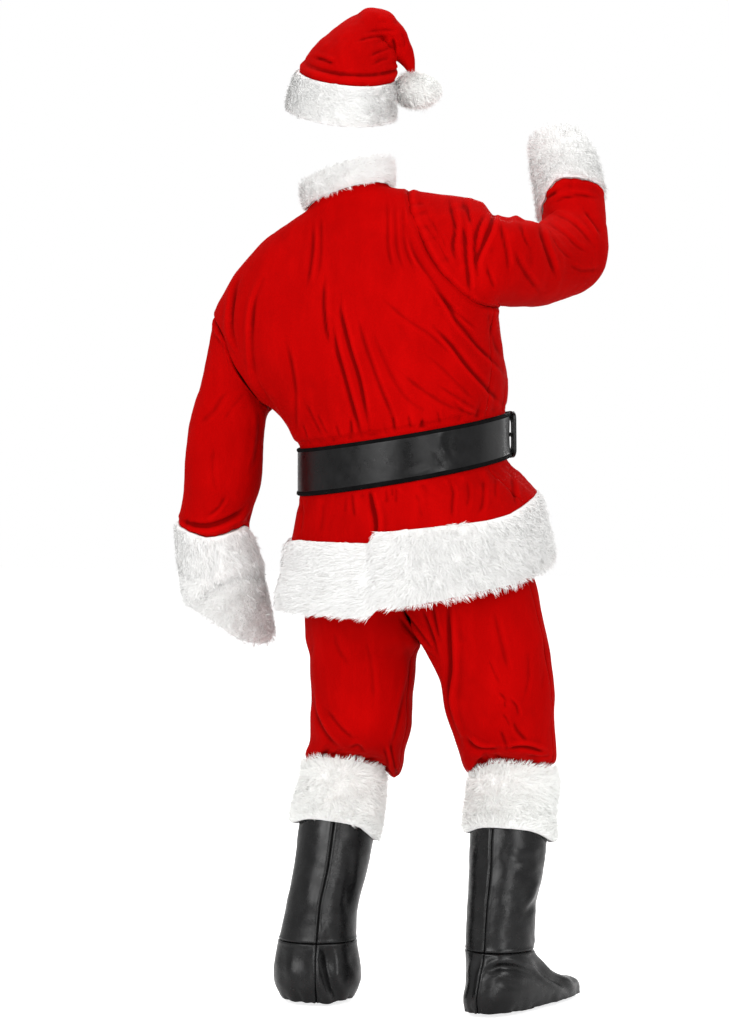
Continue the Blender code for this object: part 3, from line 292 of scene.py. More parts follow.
JACKET_FRONT_FOLDS = (
    (4.5, 3.1, 0.5, (262, 250), (276, 290), (286, 330), (292, 380), (300, 438)),
    (3.5, 2.7, -0.5, (292, 236), (304, 280), (310, 330), (318, 384), (322, 432)),
    (4.0, 3.1, 0.6, (238, 330), (262, 366), (282, 400), (302, 436)),
    (3.0, 2.4, 0.5, (340, 240), (346, 290), (348, 340), (344, 390)),
    (4.5, 3.1, -0.6, (470, 310), (456, 340), (444, 372), (438, 420)),
    (3.5, 2.7, -0.5, (488, 322), (480, 350), (468, 384), (458, 424)),
    (3.0, 2.7, 0.5, (428, 220), (424, 260), (428, 300), (436, 340)),
    (3.2, 2.3, 0.6, (352, 490), (348, 510), (344, 536)),
    (2.6, 2.2, -0.6, (430, 488), (436, 506), (444, 520)),
    (3.0, 2.0, 0.6, (306, 500), (300, 520), (296, 540)),
)
SLEEVE_BACK_FOLDS = (
    # right sleeve
    (3.8, 2.5, 0.7, (448, 197), (453, 214), (455, 230), (453, 246), (457, 264)),
    (4.2, 2.5, 0.7, (462, 216), (465, 237), (466, 255), (468, 275), (470, 296)),
    (2.8, 2.3, 0.6, (463, 199), (468, 213), (471, 226)),
    (4.2, 2.5, 0.7, (486, 212), (478, 228), (475, 244), (474, 260)),
    (5.0, 2.7, 0.8, (494, 210), (490, 228), (482, 246), (476, 262), (477, 274)),
    (2.8, 2.2, 0.5, (499, 222), (503, 237), (507, 255), (509, 273)),
    (2.8, 2.6, 0.5, (514, 248), (520, 264), (530, 280), (541, 295)),
    (2.2, 1.9, 0.5, (520, 222), (524, 237), (530, 248)),
    (4.4, 2.4, 0.7, (538, 222), (545, 246), (550, 260), (556, 277)),
    (2.4, 2.2, 0.5, (545, 220), (564, 234), (577, 246), (590, 254)),
    (2.6, 2.2, 0.5, (548, 213), (568, 220), (582, 231), (594, 247)),
    (2.2, 2.2, 0.5, (550, 234), (561, 250), (574, 261)),
    (4.4, 2.7, -0.7, (584, 209), (595, 223), (602, 237)),
    (2.2, 2.4, 0.4, (567, 263), (582, 271), (600, 269)),
    (2.4, 2.0, 0.5, (486, 266), (491, 280), (495, 290)),
    (1.4, 1.6, 0.5, (420, 219), (434, 237), (448, 260), (455, 272)),
    (1.4, 1.6, 0.5, (427, 214), (440, 236), (449, 254)),
    (3.8, 2.0, 0.6, (541, 206), (548, 197), (559, 190)),
    (2.6, 2.0, 0.6, (552, 203), (566, 197), (582, 195), (597, 199)),
    (-3.0, 5.0, 0.0, (466, 197), (476, 196), (484, 200)),
    # left sleeve
    (6.0, 2.8, -0.8, (177, 517), (189, 524), (205, 526), (222, 522), (238, 514), (249, 502)),
    (2.4, 2.0, -0.5, (205, 517), (218, 508), (226, 495)),
    (1.7, 3.0, 0.5, (228, 388), (214, 409), (198, 426)),
    (1.2, 2.6, 0.4, (246, 392), (232, 408), (222, 424)),
    (2.4, 2.2, 0.5, (213, 331), (220, 342), (237, 360)),
    (1.8, 2.0, 0.5, (216, 319), (222, 334), (234, 348)),
    (2.4, 3.0, 0.4, (203, 370), (199, 382), (197, 396)),
    (2.8, 3.0, -0.6, (258, 404), (260, 424), (257, 450), (252, 474)),
    (1.6, 3.0, 0.4, (214, 440), (212, 470), (216, 496)),
)
# Broad hollows that are part of the sleeves' form, on both sides.
SLEEVE_SWELLS = (
    (10.0, 12.0, 0.0, (484, 196), (496, 202), (508, 206), (520, 209)),
    (16.0, 12.0, 0.0, (484, 196), (497, 203), (508, 206), (520, 209), (534, 213), (544, 217)),
)
# Rise of a cuff's seam behind, in units: place across and rise.
SEAM_RISES = {
    "right": ((538, 0), (546, 9), (555, 15), (563, 13), (572, 9), (583, 5), (593, 2), (606, 0)),
    "left": ((176, 0), (206, -1), (216, 2), (226, 6), (236, 10), (247, 15), (256, 17)),
}
SLEEVE_FRONT_FOLDS = (
    (5.0, 2.7, 0.6, (520, 222), (536, 240), (556, 252)),
    (4.0, 2.7, 0.6, (516, 244), (536, 262), (560, 268)),
    (4.5, 2.9, 0.6, (470, 220), (474, 246), (486, 270)),
    (3.0, 2.4, -0.5, (492, 216), (500, 240), (512, 262)),
    (3.6, 2.2, 0.6, (556, 192), (570, 198), (590, 196)),
    (4.5, 2.9, 0.6, (240, 410), (226, 430), (212, 440)),
    (4.0, 2.7, 0.6, (246, 440), (230, 456), (210, 462)),
    (3.0, 2.7, 0.5, (228, 360), (224, 386), (226, 410)),
    (3.6, 2.3, 0.6, (190, 512), (210, 520), (236, 510)),
)
CUFF_FOLDS = (
    (7.0, 6.0, 0.7, (200, 608), (210, 592), (228, 580), (250, 575), (270, 580)),
    (4.0, 4.0, 0.5, (217, 536), (215, 556), (211, 580)),
    (3.0, 4.0, 0.5, (243, 530), (247, 552), (252, 568)),
)
HEM_FOLDS = (
    (4.0, 6.0, 0.5, (371, 540), (374, 560), (376, 575), (378, 592)),
    (2.5, 6.0, 0.3, (432, 520), (434, 560), (436, 604)),
    (2.5, 6.0, 0.3, (485, 508), (488, 548), (492, 596)),
    (2.0, 8.0, 0.3, (326, 540), (326, 578), (324, 616)),
)
# Drop of the hem fur behind, in units: place across, at its upper edge and at its lower.
HEM_DROP = ((262, -4, 0), (300, -4.6, 0), (330, -2, 2), (371, 3.6, 6), (377, -6, -2), (412, -3.7, 0),
            (440, -1.7, 0), (457, 0.3, 0), (487, 4, 1), (509, 5, 4), (535, 0, 4), (556, 0, 0), (700, 0, 0))
TROUSER_BACK_FOLDS = (
    # right leg
    (4.2, 2.4, 0.6, (398, 615), (409, 631), (424, 649), (438, 662)),
    (3.8, 2.2, 0.6, (404, 612), (418, 631), (436, 656)),
    (3.6, 2.1, 0.6, (421, 608), (427, 623), (434, 643), (439, 660)),
    (3.2, 2.1, 0.6, (432, 604), (435, 623), (439, 640)),
    (6.0, 2.8, 0.9, (448, 600), (449, 629), (450, 659), (450, 690), (452, 710), (456, 730), (461, 744)),
    (2.0, 2.6, 0.4, (492, 606), (498, 634), (509, 677)),
    (1.8, 1.7, 0.5, (488, 658), (494, 672), (500, 686)),
    (2.4, 1.6, -0.5, (498, 692), (505, 700), (503, 710)),
    (2.4, 1.6, 0.6, (508, 698), (516, 706), (519, 718)),
    (2.0, 1.5, 0.5, (502, 712), (508, 722), (511, 730)),
    (1.6, 2.2, 0.4, (524, 650), (527, 676), (524, 700)),
    (2.8, 2.4, -0.5, (512, 720), (518, 732), (528, 742)),
    (1.6, 3.0, 0.4, (534, 610), (540, 650), (541, 700)),
    (6.0, 2.4, 0.7, (465, 738), (475, 746), (487, 750), (500, 749)),
    (5.0, 2.3, 0.7, (506, 750), (520, 748), (532, 749), (548, 754)),
    (3.0, 2.0, 0.6, (467, 766), (475, 759), (486, 755)),
    (2.6, 2.0, 0.6, (524, 756), (540, 757), (552, 756)),
    (2.4, 2.0, 0.5, (500, 730), (505, 742), (507, 752)),
    # left leg
    (4.2, 2.6, 0.6, (311, 684), (315, 714), (326, 736), (342, 752)),
    (2.6, 2.4, 0.5, (326, 709), (341, 729), (356, 741)),
    (2.6, 2.0, 0.5, (349, 750), (358, 746), (365, 754)),
    (2.8, 2.0, 0.5, (384, 747), (388, 758), (386, 768)),
    (3.4, 2.2, -0.6, (391, 742), (396, 756), (399, 768)),
    (2.6, 2.6, -0.7, (402, 644), (405, 664), (404, 690), (400, 716), (395, 740), (392, 752)),
    (1.8, 2.6, 0.4, (309, 640), (309, 668), (311, 690)),
    (1.6, 3.2, 0.4, (334, 628), (338, 650), (352, 668)),
    (1.6, 3.0, 0.4, (366, 640), (372, 668), (374, 704)),
)
TROUSER_FRONT_FOLDS = (
    (5.0, 3.1, 0.6, (404, 612), (420, 630), (440, 650)),
    (4.0, 2.7, 0.6, (470, 700), (492, 712), (520, 710)),
    (4.0, 2.7, 0.6, (468, 728), (494, 740), (526, 736)),
    (3.5, 3.4, 0.5, (500, 600), (498, 650), (494, 690)),
    (4.0, 2.7, 0.6, (322, 700), (346, 714), (376, 708)),
    (4.0, 2.7, 0.6, (320, 730), (348, 742), (384, 736)),
    (3.5, 3.4, 0.5, (352, 610), (354, 650), (350, 684)),
)
BOOT_BACK_FOLDS = (
    # left boot
    (1.8, 5.0, 0.6, (349, 848), (350, 885), (345, 918)),
    (1.0, 6.0, 0.3, (300, 838), (298, 880), (296, 920)),
    (11.0, 6.5, -0.8, (326, 944), (328, 966), (333, 986), (340, 1004)),
    (-2.4, 3.2, 0.0, (316, 946), (315, 968), (317, 994)),
    (-2.2, 4.0, 0.0, (354, 950), (357, 968), (352, 988)),
    (1.6, 6.0, -0.4, (304, 952), (302, 974), (303, 996)),
    (1.6, 4.0, 0.5, (288, 944), (286, 966), (290, 990)),
    (3.4, 3.2, 0.6, (285, 1000), (297, 1008), (318, 1011), (338, 1006)),
    (2.5, 3.0, 0.5, (294, 986), (300, 998), (304, 1010)),
    (2.0, 5.0, 0.3, (352, 950), (356, 970), (352, 990)),
    # right boot
    (2.2, 7.0, 0.4, (500, 850), (516, 862), (536, 858)),
    (1.0, 6.0, 0.3, (500, 892), (514, 898), (530, 894)),
    (4.6, 4.2, 0.8, (526, 914), (538, 900), (545, 882)),
    (2.4, 5.0, 0.6, (540, 846), (542, 866), (539, 886)),
    (6.0, 3.6, 0.9, (486, 974), (500, 967), (519, 969), (537, 976)),
    (5.2, 3.0, 0.9, (531, 957), (544, 969), (560, 980), (571, 993)),
    (3.0, 4.0, -0.5, (482, 954), (474, 972), (469, 992), (467, 1008)),
    (2.6, 4.0, 0.5, (492, 982), (506, 984), (524, 990)),
    (2.6, 3.4, 0.5, (528, 966), (540, 980), (556, 990)),
    (-2.2, 5.0, 0.0, (490, 958), (510, 958), (530, 962)),
)
BOOT_FRONT_FOLDS = (
    (4.0, 4.0, 0.6, (520, 940), (535, 950), (552, 962)),
    (3.0, 3.6, 0.6, (516, 955), (534, 966), (552, 978)),
    (4.0, 4.0, 0.6, (290, 950), (316, 960), (344, 952)),
    (3.0, 3.6, 0.6, (292, 968), (318, 976), (344, 968)),
    (2.4, 5.0, 0.4, (500, 850), (512, 880), (510, 910)),
    (2.4, 5.0, 0.4, (320, 850), (318, 880), (322, 910)),
)
HAT_FOLDS = (
    (3.6, 1.8, 0.5, (314, 57), (323, 59), (334, 64)),
    (-11.0, 7.0, 0.0, (382, 38), (387, 46), (391, 54), (391, 64)),
    (6.0, 1.8, 0.5, (392, 37), (395, 46), (396, 56)),
    (2.6, 1.8, 0.5, (388, 37), (372, 37), (356, 41)),
    (2.2, 1.8, 0.5, (396, 30), (380, 30), (366, 32)),
    (2.6, 1.8, 0.5, (388, 49), (378, 52), (370, 56)),
    (2.2, 1.8, 0.5, (388, 58), (380, 60), (374, 64)),
    (2.2, 1.6, 0.5, (401, 30), (405, 40), (404, 50)),
    (1.6, 2.0, 0.5, (376, 21), (388, 22)),
)
# Two broad hollows and a ridge, on both sides.
HAT_SWELLS = (
    (7.5, 15.0, 0.0, (316, 42), (328, 28), (342, 18), (357, 9), (369, 4)),
    (6.0, 9.0, 0.0, (394, 10), (404, 22), (411, 38), (414, 50)),
    (-12.0, 8.0, 0.0, (397, 44), (396, 58), (395, 72), (394, 90)),
)
HAT_FRONT_FOLDS = (
    (4.0, 3.0, 0.6, (388, 36), (372, 40), (352, 46)),
    (3.0, 2.8, 0.6, (386, 50), (368, 58), (350, 62)),
    (2.6, 3.4, 0.5, (330, 44), (338, 56), (340, 68)),
)
# Parts of a form pushed aside: place and reach across and down, and how far right and down, in units.
SHIFTS = {
    "leg_right": ((540, 610, 30, 60, 9, 0), (448, 708, 12, 24, -5.5, 0), (467, 768, 13, 18, 0, 15),
                  (538, 574, 24, 22, 5, 0)),
    "leg_left": ((409, 666, 14, 26, 7, 0), (410, 750, 14, 18, -6, 0), (397, 768, 12, 16, 0, 12),
                 (302, 640, 16, 20, 4, 0),
                 (311, 758, 12, 12, -7, 4)),
    "hem": ((273, 606, 25, 32, -20, 4), (549, 560, 24, 34, 9, -2)),
    "cuff_left": ((194, 600, 24, 30, -8, -2), (256, 630, 30, 24, 6, 14), (232, 626, 14, 16, 0, 4)),
    "hat": ((391, 68, 8, 7, 6, 0),),
    "cuff_right": (),
    "shaft_left": ((282, 962, 18, 46, -5, 0),),
    "shaft_right": ((458, 985, 12, 26, 6, 0), (553, 968, 16, 14, 0, 6)),
    "boot_left": ((300, 757, 14, 13, -3, 8), (292, 805, 14, 26, -5, 0), (388, 766, 14, 13, 0, 6),
                  (378, 830, 14, 16, -2, 10), (294, 818, 10, 14, -2, 6)),
    "boot_right": ((470, 761, 14, 15, -1, 13), (557, 785, 14, 24, 7, 0), (553, 838, 14, 14, 5, 9),
                   (464, 829, 12, 12, -1, 5)),
}
BELT_FOLDS = (
    (1.6, 5.0, -0.8, (449, 428), (447, 444), (453, 458)),
    (1.6, 4.5, 0.8, (434, 452), (440, 462), (444, 474)),
    (1.2, 4.5, 0.6, (400, 478), (415, 475), (432, 468)),
    (1.2, 2.2, 0.8, (505, 418), (507, 436), (506, 452)),
)

# ---------------------------------------------------------------- fine relief, in metres
# Waves of a surface. Columns: depth, wavelength, seed and, where they are drawn out, how far.
WAVES = {
    "jacket": ((0.0011, 0.085, 21), (0.0005, 0.030, 22, (1, 1, 0.35))),
    "sleeve": ((0.0010, 0.075, 31), (0.0004, 0.026, 32)),
    "hem": ((0.0030, 0.110, 41),),
    "strap": ((0.0004, 0.090, 71, (1, 1, 0.5)), (0.00012, 0.018, 72)),
    "tape": ((0.00025, 0.012, 73),),
    "trouser_right": ((0.0014, 0.100, 82), (0.0004, 0.030, 83)),
    "trouser_left": ((0.0014, 0.100, 80), (0.0004, 0.030, 83)),
    "boot": ((0.0007, 0.060, 101), (0.0002, 0.017, 102)),
    "hat": ((0.0012, 0.055, 131), (0.0004, 0.020, 132)),
    "pompom": ((0.0012, 0.012, 141),),
}
# Puckers at a gathered edge. Columns: how many, their reach, depth, width and seed.
GATHERS = {
    "above_belt": (46, 0.045, 0.0030, 0.0055, 11),
    "under_belt": (40, 0.038, 0.0026, 0.0055, 12),
    "neck": (26, 0.030, 0.0012, 0.0050, 13),
    "cuff": (24, 0.028, 0.0022, 0.0055, 33),
    "armhole": (22, 0.035, 0.0018, 0.0060, 34),
    "knee_right_back": (34, 0.042, 0.0042, 0.0065, 86),
    "knee_right_front": (34, 0.042, 0.0042, 0.0065, 85),
    "knee_left_back": (34, 0.042, 0.0042, 0.0065, 84),
    "knee_left_front": (34, 0.042, 0.0042, 0.0065, 83),
    "waist_back": (30, 0.030, 0.0022, 0.0055, 89),
    "waist_front": (30, 0.030, 0.0022, 0.0055, 88),
    "waistband": (84, 0.050, 0.0022, 0.0032, 91),
    "sole": (22, 0.022, 0.0024, 0.0055, 103),
}
# Ridges, and troughs where the height is negative, along a seam. Columns: height, distance from
# the seam, width.
SEAMS = {
    "armhole": ((-0.0026, 0.0, 0.0045), (0.0014, 0.010, 0.005)),
    "side": ((-0.0016, 0.0, 0.004),),
    "neck": ((-0.0015, 0.0, 0.004),),
    "sleeve_top": ((-0.0034, 0.0, 0.0042), (0.0014, 0.010, 0.005)),
    "sleeve_end": ((-0.0030, 0.0, 0.0035), (0.0020, 0.009, 0.006)),
    "trouser": ((-0.0014, 0.0, 0.0035),),
    "boot": ((-0.0022, 0.0, 0.0012), (0.0016, 0.0026, 0.0022)),
    "ankle": ((-0.0016, 0.0, 0.0012), (0.0012, 0.0026, 0.0024)),
    "hat_roll": ((0.0034, 0.0095, 0.0075),),
    "hat_groove": ((-0.0034, 0.0215, 0.0040),),
    "waistband": ((-0.0010, 0.50, 0.06), (-0.0010, 0.94, 0.05)),    # in shares of its height
}
# Pile of each fur piece. Columns: hairs, their length and seed.
PILES = {
    "cuff_fur_left": (21000, 0.0150, 151), "cuff_fur_right": (15000, 0.0150, 152),
    "hem_fur": (50000, 0.0185, 42), "front_fur": (12000, 0.0120, 52), "collar_fur": (7500, 0.0145, 62),
    "boot_right_fur": (16000, 0.0185, 115), "boot_left_fur": (16000, 0.0185, 114),
    "hat_fur": (16000, 0.0150, 122), "hat_pompom": (8500, 0.0185, 142),
}
LOCK = 13                             # hairs to a lock
LOCK_SPREAD = 0.0042                  # how far the roots of a lock lie apart
HAIR_WIDTH = 0.0013
HAIR_WIDTHS, HAIR_LENGTHS = (0.7, 1.3), (0.65, 1.15)    # ranges, as shares of a fur's own
ROOT, BEND = 0.34, 0.42               # roots in the fur's thickness, bends in the hairs' length, as shares
LAY_SPREAD, RISE_SPREAD, DULL_SPREAD = (0.32, 0.16), (0.22, 0.06), (0.20, 0.16)    # of locks, of hairs
TIPS_TOGETHER = (0.10, 0.60)          # range of how far a lock's tips draw together
LAY_AT_ROOT, RISE_AT_ROOT = 0.6, 0.35    # how a hair starts: its share of the lay, and its own rise
RISE_AT_TIP = 0.55                    # share of its rise that a hair has beyond its bend
DULL = 0.30                           # usual darkness of a lock, from 0 to 2
BACKING = 0.0035                      # thickness of a fur's backing
BACKING_SHARE = 0.42                  # share of a fur's thickness at which its backing lies
BACKING_WAVES = ((0.0016, 0.022), (0.0010, 0.010))    # depth and wavelength of its unevenness
UNEVEN_FROM = 0.010                   # thickness of fur from which that is whole
CREASE_SPREAD = 7                     # rounds of smoothing that tell a crease from a broad wave


# ---------------------------------------------------------------- helpers
def blend(rows, place):
    """Value of a table of rows at a running row number, on a smooth curve through them."""
    rows = np.asarray(rows, float)
    k = int(min(max(math.floor(place), 0), len(rows) - 2))
    f = place - k
    before, here = rows[max(k - 1, 0)], rows[k]
    after, beyond = rows[k + 1], rows[min(k + 2, len(rows) - 1)]
    bend = 2 * before - 5 * here + 4 * after - beyond
    return here + 0.5 * f * ((after - before) + f * (bend + f * (3 * (here - after) + beyond - before)))


def unit(vectors):
    """Vectors at length one."""
    length = np.linalg.norm(vectors, axis=-1, keepdims=True)
    return vectors / np.maximum(length, 1e-12)


def soft(value):
    """A smooth step from 0 to 1."""
    value = np.clip(value, 0.0, 1.0)
    return value * value * (3 - 2 * value)


def bell(distance, width):
    """A smooth bump of height one."""
    return np.exp(-(distance / width) ** 2)


def odd(count):
    """The whole number at or just over a count's whole part that is odd."""
    return int(count) | 1


def full_turn(count):
    """Angles in degrees, evenly round."""
    return np.linspace(0.0, 360.0, count, endpoint=False)


def turned(across, forward, yaw):
    """Right and ahead of places in a plan that is turned by a yaw in degrees."""
    c, s = math.cos(math.radians(yaw)), math.sin(math.radians(yaw))
    return across * c + forward * s, forward * c - across * s


def placed(middle, across, forward, yaw, falls=(0.0, 0.0)):
    """Points of a turned plan round its middle, falling to the right and to the front."""
    right, ahead = turned(across, forward, yaw)
    x, y, z = middle
    return np.stack([x + right, y + ahead, z - falls[0] * right - falls[1] * ahead], axis=-1)


def across_steps(grid, ring):
    """Steps between a grid's columns; a ring is closed along its second index."""
    if ring:
        return np.roll(grid, -1, axis=1) - np.roll(grid, 1, axis=1)
    return np.gradient(grid, axis=1)


def outward_normals(grid, ring=True, middles=None):
    """Normals of a grid of points, away from the middles of its rows."""
    normals = unit(np.cross(across_steps(grid, ring), np.gradient(grid, axis=0)))
    middles = grid.mean(axis=1, keepdims=True) if middles is None else middles
    return normals if (normals * (grid - middles)).sum() > 0 else -normals


def flattened(normals, row, axis):
    """The normals with those of one row laid square to an axis."""
    normals[row] = unit(normals[row] - (normals[row] @ axis)[:, None] * axis)
    return normals


def arc_along(grid, axis):
    """Running length of a grid along one of its directions."""
    steps = np.linalg.norm(np.diff(grid, axis=axis), axis=-1)
    start = np.zeros_like(np.take(steps, [0], axis=axis))
    return np.concatenate([start, np.cumsum(steps, axis=axis)], axis=axis)


def even_arc(grid, turn):
    """Running length across a grid, with each row's as long as the turn."""
    arc = arc_along(grid, 1)
    return arc / arc.max(axis=1, keepdims=True) * turn


def to_row(points):
    """Points of the drafting frame in the row's frame."""
    moved = np.asarray(points, float) - NECK
    c, s = math.cos(TURN), math.sin(TURN)
    x, y = moved[..., 0], moved[..., 1]
    return np.stack([x * c - y * s, x * s + y * c, moved[..., 2]], axis=-1)


def quads(at):
    """Faces between the points of a grid of point numbers."""
    return np.stack([at[:-1, :-1], at[:-1, 1:], at[1:, 1:], at[1:, :-1]], axis=-1).reshape(-1, 4)


def closed(at):
    """A grid with its first column again at its end."""
    return np.concatenate([at, at[:, :1]], axis=1)


def link_object(name, data):
    """A new object in the scene."""
    made = bpy.data.objects.new(name, data)
    bpy.context.collection.objects.link(made)
    return made


def add_piece(name, points, faces, looks, face_looks=None, marks=None, solid=True):
    """A smooth mesh object in the row's frame; a solid's faces are turned outward."""
    mesh = bpy.data.meshes.new(name)
    points = to_row(points)
    mesh.from_pydata(points.tolist(), [], faces)
    mesh.update()
    for look in looks:
        mesh.materials.append(look)
    if face_looks is not None:
        mesh.polygons.foreach_set("material_index", np.asarray(face_looks, np.int32))
    for mark, values in (marks or {}).items():
        layer = mesh.attributes.new(mark, "FLOAT", "POINT")
        layer.data.foreach_set("value", np.asarray(values, np.float32))
    mesh.polygons.foreach_set("use_smooth", np.full(len(mesh.polygons), True))
    if solid:
        mesh.calc_loop_triangles()
        corners = np.empty(len(mesh.loop_triangles) * 3, np.int32)
        mesh.loop_triangles.foreach_get("vertices", corners)
        a, b, c = (points[corners.reshape(-1, 3)[:, k]] for k in range(3))
        if np.einsum("ij,ij->i", a, np.cross(b, c)).sum() < 0:
            mesh.flip_normals()
    piece = link_object(name, mesh)
    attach(piece, "root")
    return piece


def declare(node_name):
    """Hides the CAD node that a piece stands for."""
    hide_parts(node_name)


def neighbours(values, ring):
    """Each value of a grid with the eight round it, stacked."""
    near = np.pad(values, ((1, 1), (0, 0)), mode="edge")
    near = np.pad(near, ((0, 0), (1, 1)), mode="wrap" if ring else "edge")
    rows, columns = values.shape
    return np.stack([near[i:i + rows, j:j + columns] for i in range(3) for j in range(3)])


def shell(name, grid, normals, height, looks, face=CLOTH / 2, wall=CLOTH, ring=False, tip=False):
    """A thin closed piece: a fine outer face, an inner one of every second point, and a rim.

    An open grid has odd numbers of rows and columns, and a ring an even number of columns.  A tip
    closes the last row.  The mark `lift` says how far a point stands over the surface round it.
    """
    rows, columns = grid.shape[:2]
    height = np.asarray(height) + np.zeros((rows, columns))
    under = neighbours(height, ring).min(axis=0)
    outer = grid + normals * (face + height)[..., None]
    inner = (grid + normals * (face - wall + under)[..., None])[::2, ::2]
    points = np.concatenate([outer.reshape(-1, 3), inner.reshape(-1, 3)])
    level = height
    for _ in range(CREASE_SPREAD):
        level = neighbours(level, ring).mean(axis=0)
    # the materials paint shade in the troughs of lift and highlights on its ridges
    lift = height - level
    lift = np.concatenate([lift.ravel(), lift[::2, ::2].ravel()])
    out_at = np.arange(rows * columns).reshape(rows, columns)
    in_at = rows * columns + np.arange(inner.size // 3).reshape(inner.shape[:2])
    if ring:
        out_at, in_at = closed(out_at), closed(in_at)
    outside, inside, rim = quads(out_at)[:, ::-1].tolist(), quads(in_at).tolist(), []

    def close(out_line, in_line):
        for k in range(len(in_line) - 1):
            a, b, c = out_line[2 * k:2 * k + 3]
            d, e = in_line[k:k + 2]
            rim.extend([(a, b, d), (b, e, d), (b, c, e)])

    close(out_at[0].tolist(), in_at[0].tolist())
    if tip:
        points = np.vstack([points, outer[-1].mean(axis=0), inner[-1].mean(axis=0)])
        lift = np.append(lift, [0.0, 0.0])
        out_end, in_end = out_at[-1].tolist(), in_at[-1].tolist()
        outside += [(b, a, len(points) - 2) for a, b in zip(out_end[:-1], out_end[1:])]
        inside += [(a, b, len(points) - 1) for a, b in zip(in_end[:-1], in_end[1:])]
    else:
        close(out_at[-1, ::-1].tolist(), in_at[-1, ::-1].tolist())
    if not ring:
        close(out_at[::-1, 0].tolist(), in_at[::-1, 0].tolist())
        close(out_at[:, -1].tolist(), in_at[:, -1].tolist())
    sides = [0] * len(outside) + [len(looks) - 1] * len(inside) + [0] * len(rim)
    return add_piece(name, points, outside + inside + rim, looks, sides, {"lift": lift})


# ---------------------------------------------------------------- folds
FOLD_REACH = 4                        # widths beyond which a fold is nothing
RIDGE_AT = 1.7                        # widths from a trough to the ridge beside it
END_DEPTH, END_SHARE = 0.2, 0.25      # share of the depth at a fold's ends, and of its length to the full
TURNED_AWAY, FACING_FADE = 0.35, 0.5  # how far a surface faces away where folds end, and where they fade


def drawing(points):
    """Places of points on the drawing sheet, right and down in its units."""
    scale = UNITS_PER_METRE * EYE[1] / (EYE[1] - points[..., 1])
    return (SHEET_MIDDLE[0] + (points[..., 0] - EYE[0]) * scale,
            SHEET_MIDDLE[1] - (points[..., 2] - EYE[2]) * scale)


def shifted(grid, shifts):
    """The grid with parts of it pushed aside on the drawing."""
    across, down = drawing(grid)
    moved = grid.copy()
    for x, y, wide, tall, right, low in shifts:
        share = bell(across - x, wide) * bell(down - y, tall) / UNITS_PER_METRE
        moved[..., 0] += right * share
        moved[..., 2] -= low * share
    return moved


def drawn_folds(points, normals, folds, behind=True):
    """Height of the folds drawn on one side of the suit.

    A fold is its depth in mm, its width in units, its lean and its path.  Lean is the share of
    the depth that stands up as a ridge beside the trough, on the right of a path drawn downward,
    or on the left where it is negative.  A negative depth is a ridge.  Where `behind` is None the
    folds are on both sides.
    """
    across, down = drawing(points)
    facing = -normals[..., 1] if behind else normals[..., 1]
    seen = np.ones(across.shape) if behind is None else soft((facing + TURNED_AWAY) / FACING_FADE)
    height = np.zeros(across.shape)
    for depth, width, lean, *path in folds:
        path = np.array(path, float)
        line = np.array([blend(path, p) for p in np.linspace(0, len(path) - 1, 4 * len(path) - 3)])
        low, high = line.min(axis=0) - FOLD_REACH * width, line.max(axis=0) + FOLD_REACH * width
        near = (across > low[0]) & (across < high[0]) & (down > low[1]) & (down < high[1]) & (seen > 0)
        if not near.any():
            continue
        at = np.stack([across[near], down[near]], axis=-1)
        best, side, share = np.full(len(at), 1e9), np.zeros(len(at)), np.zeros(len(at))
        steps = np.linalg.norm(np.diff(line, axis=0), axis=1)
        before = np.concatenate([[0.0], np.cumsum(steps)])
        for k, length in enumerate(steps):
            way = (line[k + 1] - line[k]) / length
            off = at - line[k]
            along = np.clip(off @ way, 0.0, length)
            distance = np.linalg.norm(off - along[:, None] * way, axis=1)
            nearer = distance < best
            best = np.where(nearer, distance, best)
            side = np.where(nearer, np.sign(off[:, 0] * way[1] - off[:, 1] * way[0]), side)
            share = np.where(nearer, (before[k] + along) / before[-1], share)
        taper = END_DEPTH + (1 - END_DEPTH) * soft(np.minimum(share, 1 - share) / END_SHARE)
        shape = -bell(best, width)
        if lean:
            shape += abs(lean) * bell(best * side * np.sign(lean) - RIDGE_AT * width, width)
        height[near] += depth * 0.001 * taper * shape * seen[near]
    return height


def creases(points, normals, back, front):
    """Height of the folds behind and in front."""
    return drawn_folds(points, normals, back) + drawn_folds(points, normals, front, False)


def puckers(arc, rise, turn, count, reach, depth, width, seed):
    """Uneven puckers that run from a gathered edge; rise is the distance from that edge."""
    rng = np.random.default_rng(seed)
    height = np.zeros(arc.shape)
    away = np.maximum(rise, 0)
    for k in range(count):
        middle = (k + rng.uniform(0.0, 1.0)) * turn / count
        off = arc - middle - rng.uniform(-0.3, 0.3) * rise
        off = (off + turn / 2) % turn - turn / 2
        size = width * rng.uniform(0.6, 1.5)
        long = reach * rng.uniform(0.35, 1.3)
        deep = depth * rng.uniform(0.3, 1.0) * (1 if rng.random() < 0.7 else -0.7)
        height -= deep * bell(off, size * (1 + 0.5 * away / long)) * bell(away, long)
    return height * soft(rise / 0.004 + 1.0)


def waves(points, rows):
    """Smooth uneven waves of a surface, from rows such as those of WAVES."""
    height = np.zeros(points.shape[:-1])
    for depth, size, seed, *stretch in rows:
        rng = np.random.default_rng(seed)
        at = points * np.array(stretch[0]) if stretch else points
        for _ in range(9):
            way = unit(rng.normal(size=3)) * 2 * math.pi / size * rng.uniform(0.6, 1.5)
            height += depth / 4.5 * np.sin(at @ way + rng.uniform(0, 2 * math.pi))
    return height


def seam_relief(distance, name):
    """Troughs and ridges along a seam, as SEAMS says."""
    return sum(height * bell(distance - place, width) for height, place, width in SEAMS[name])


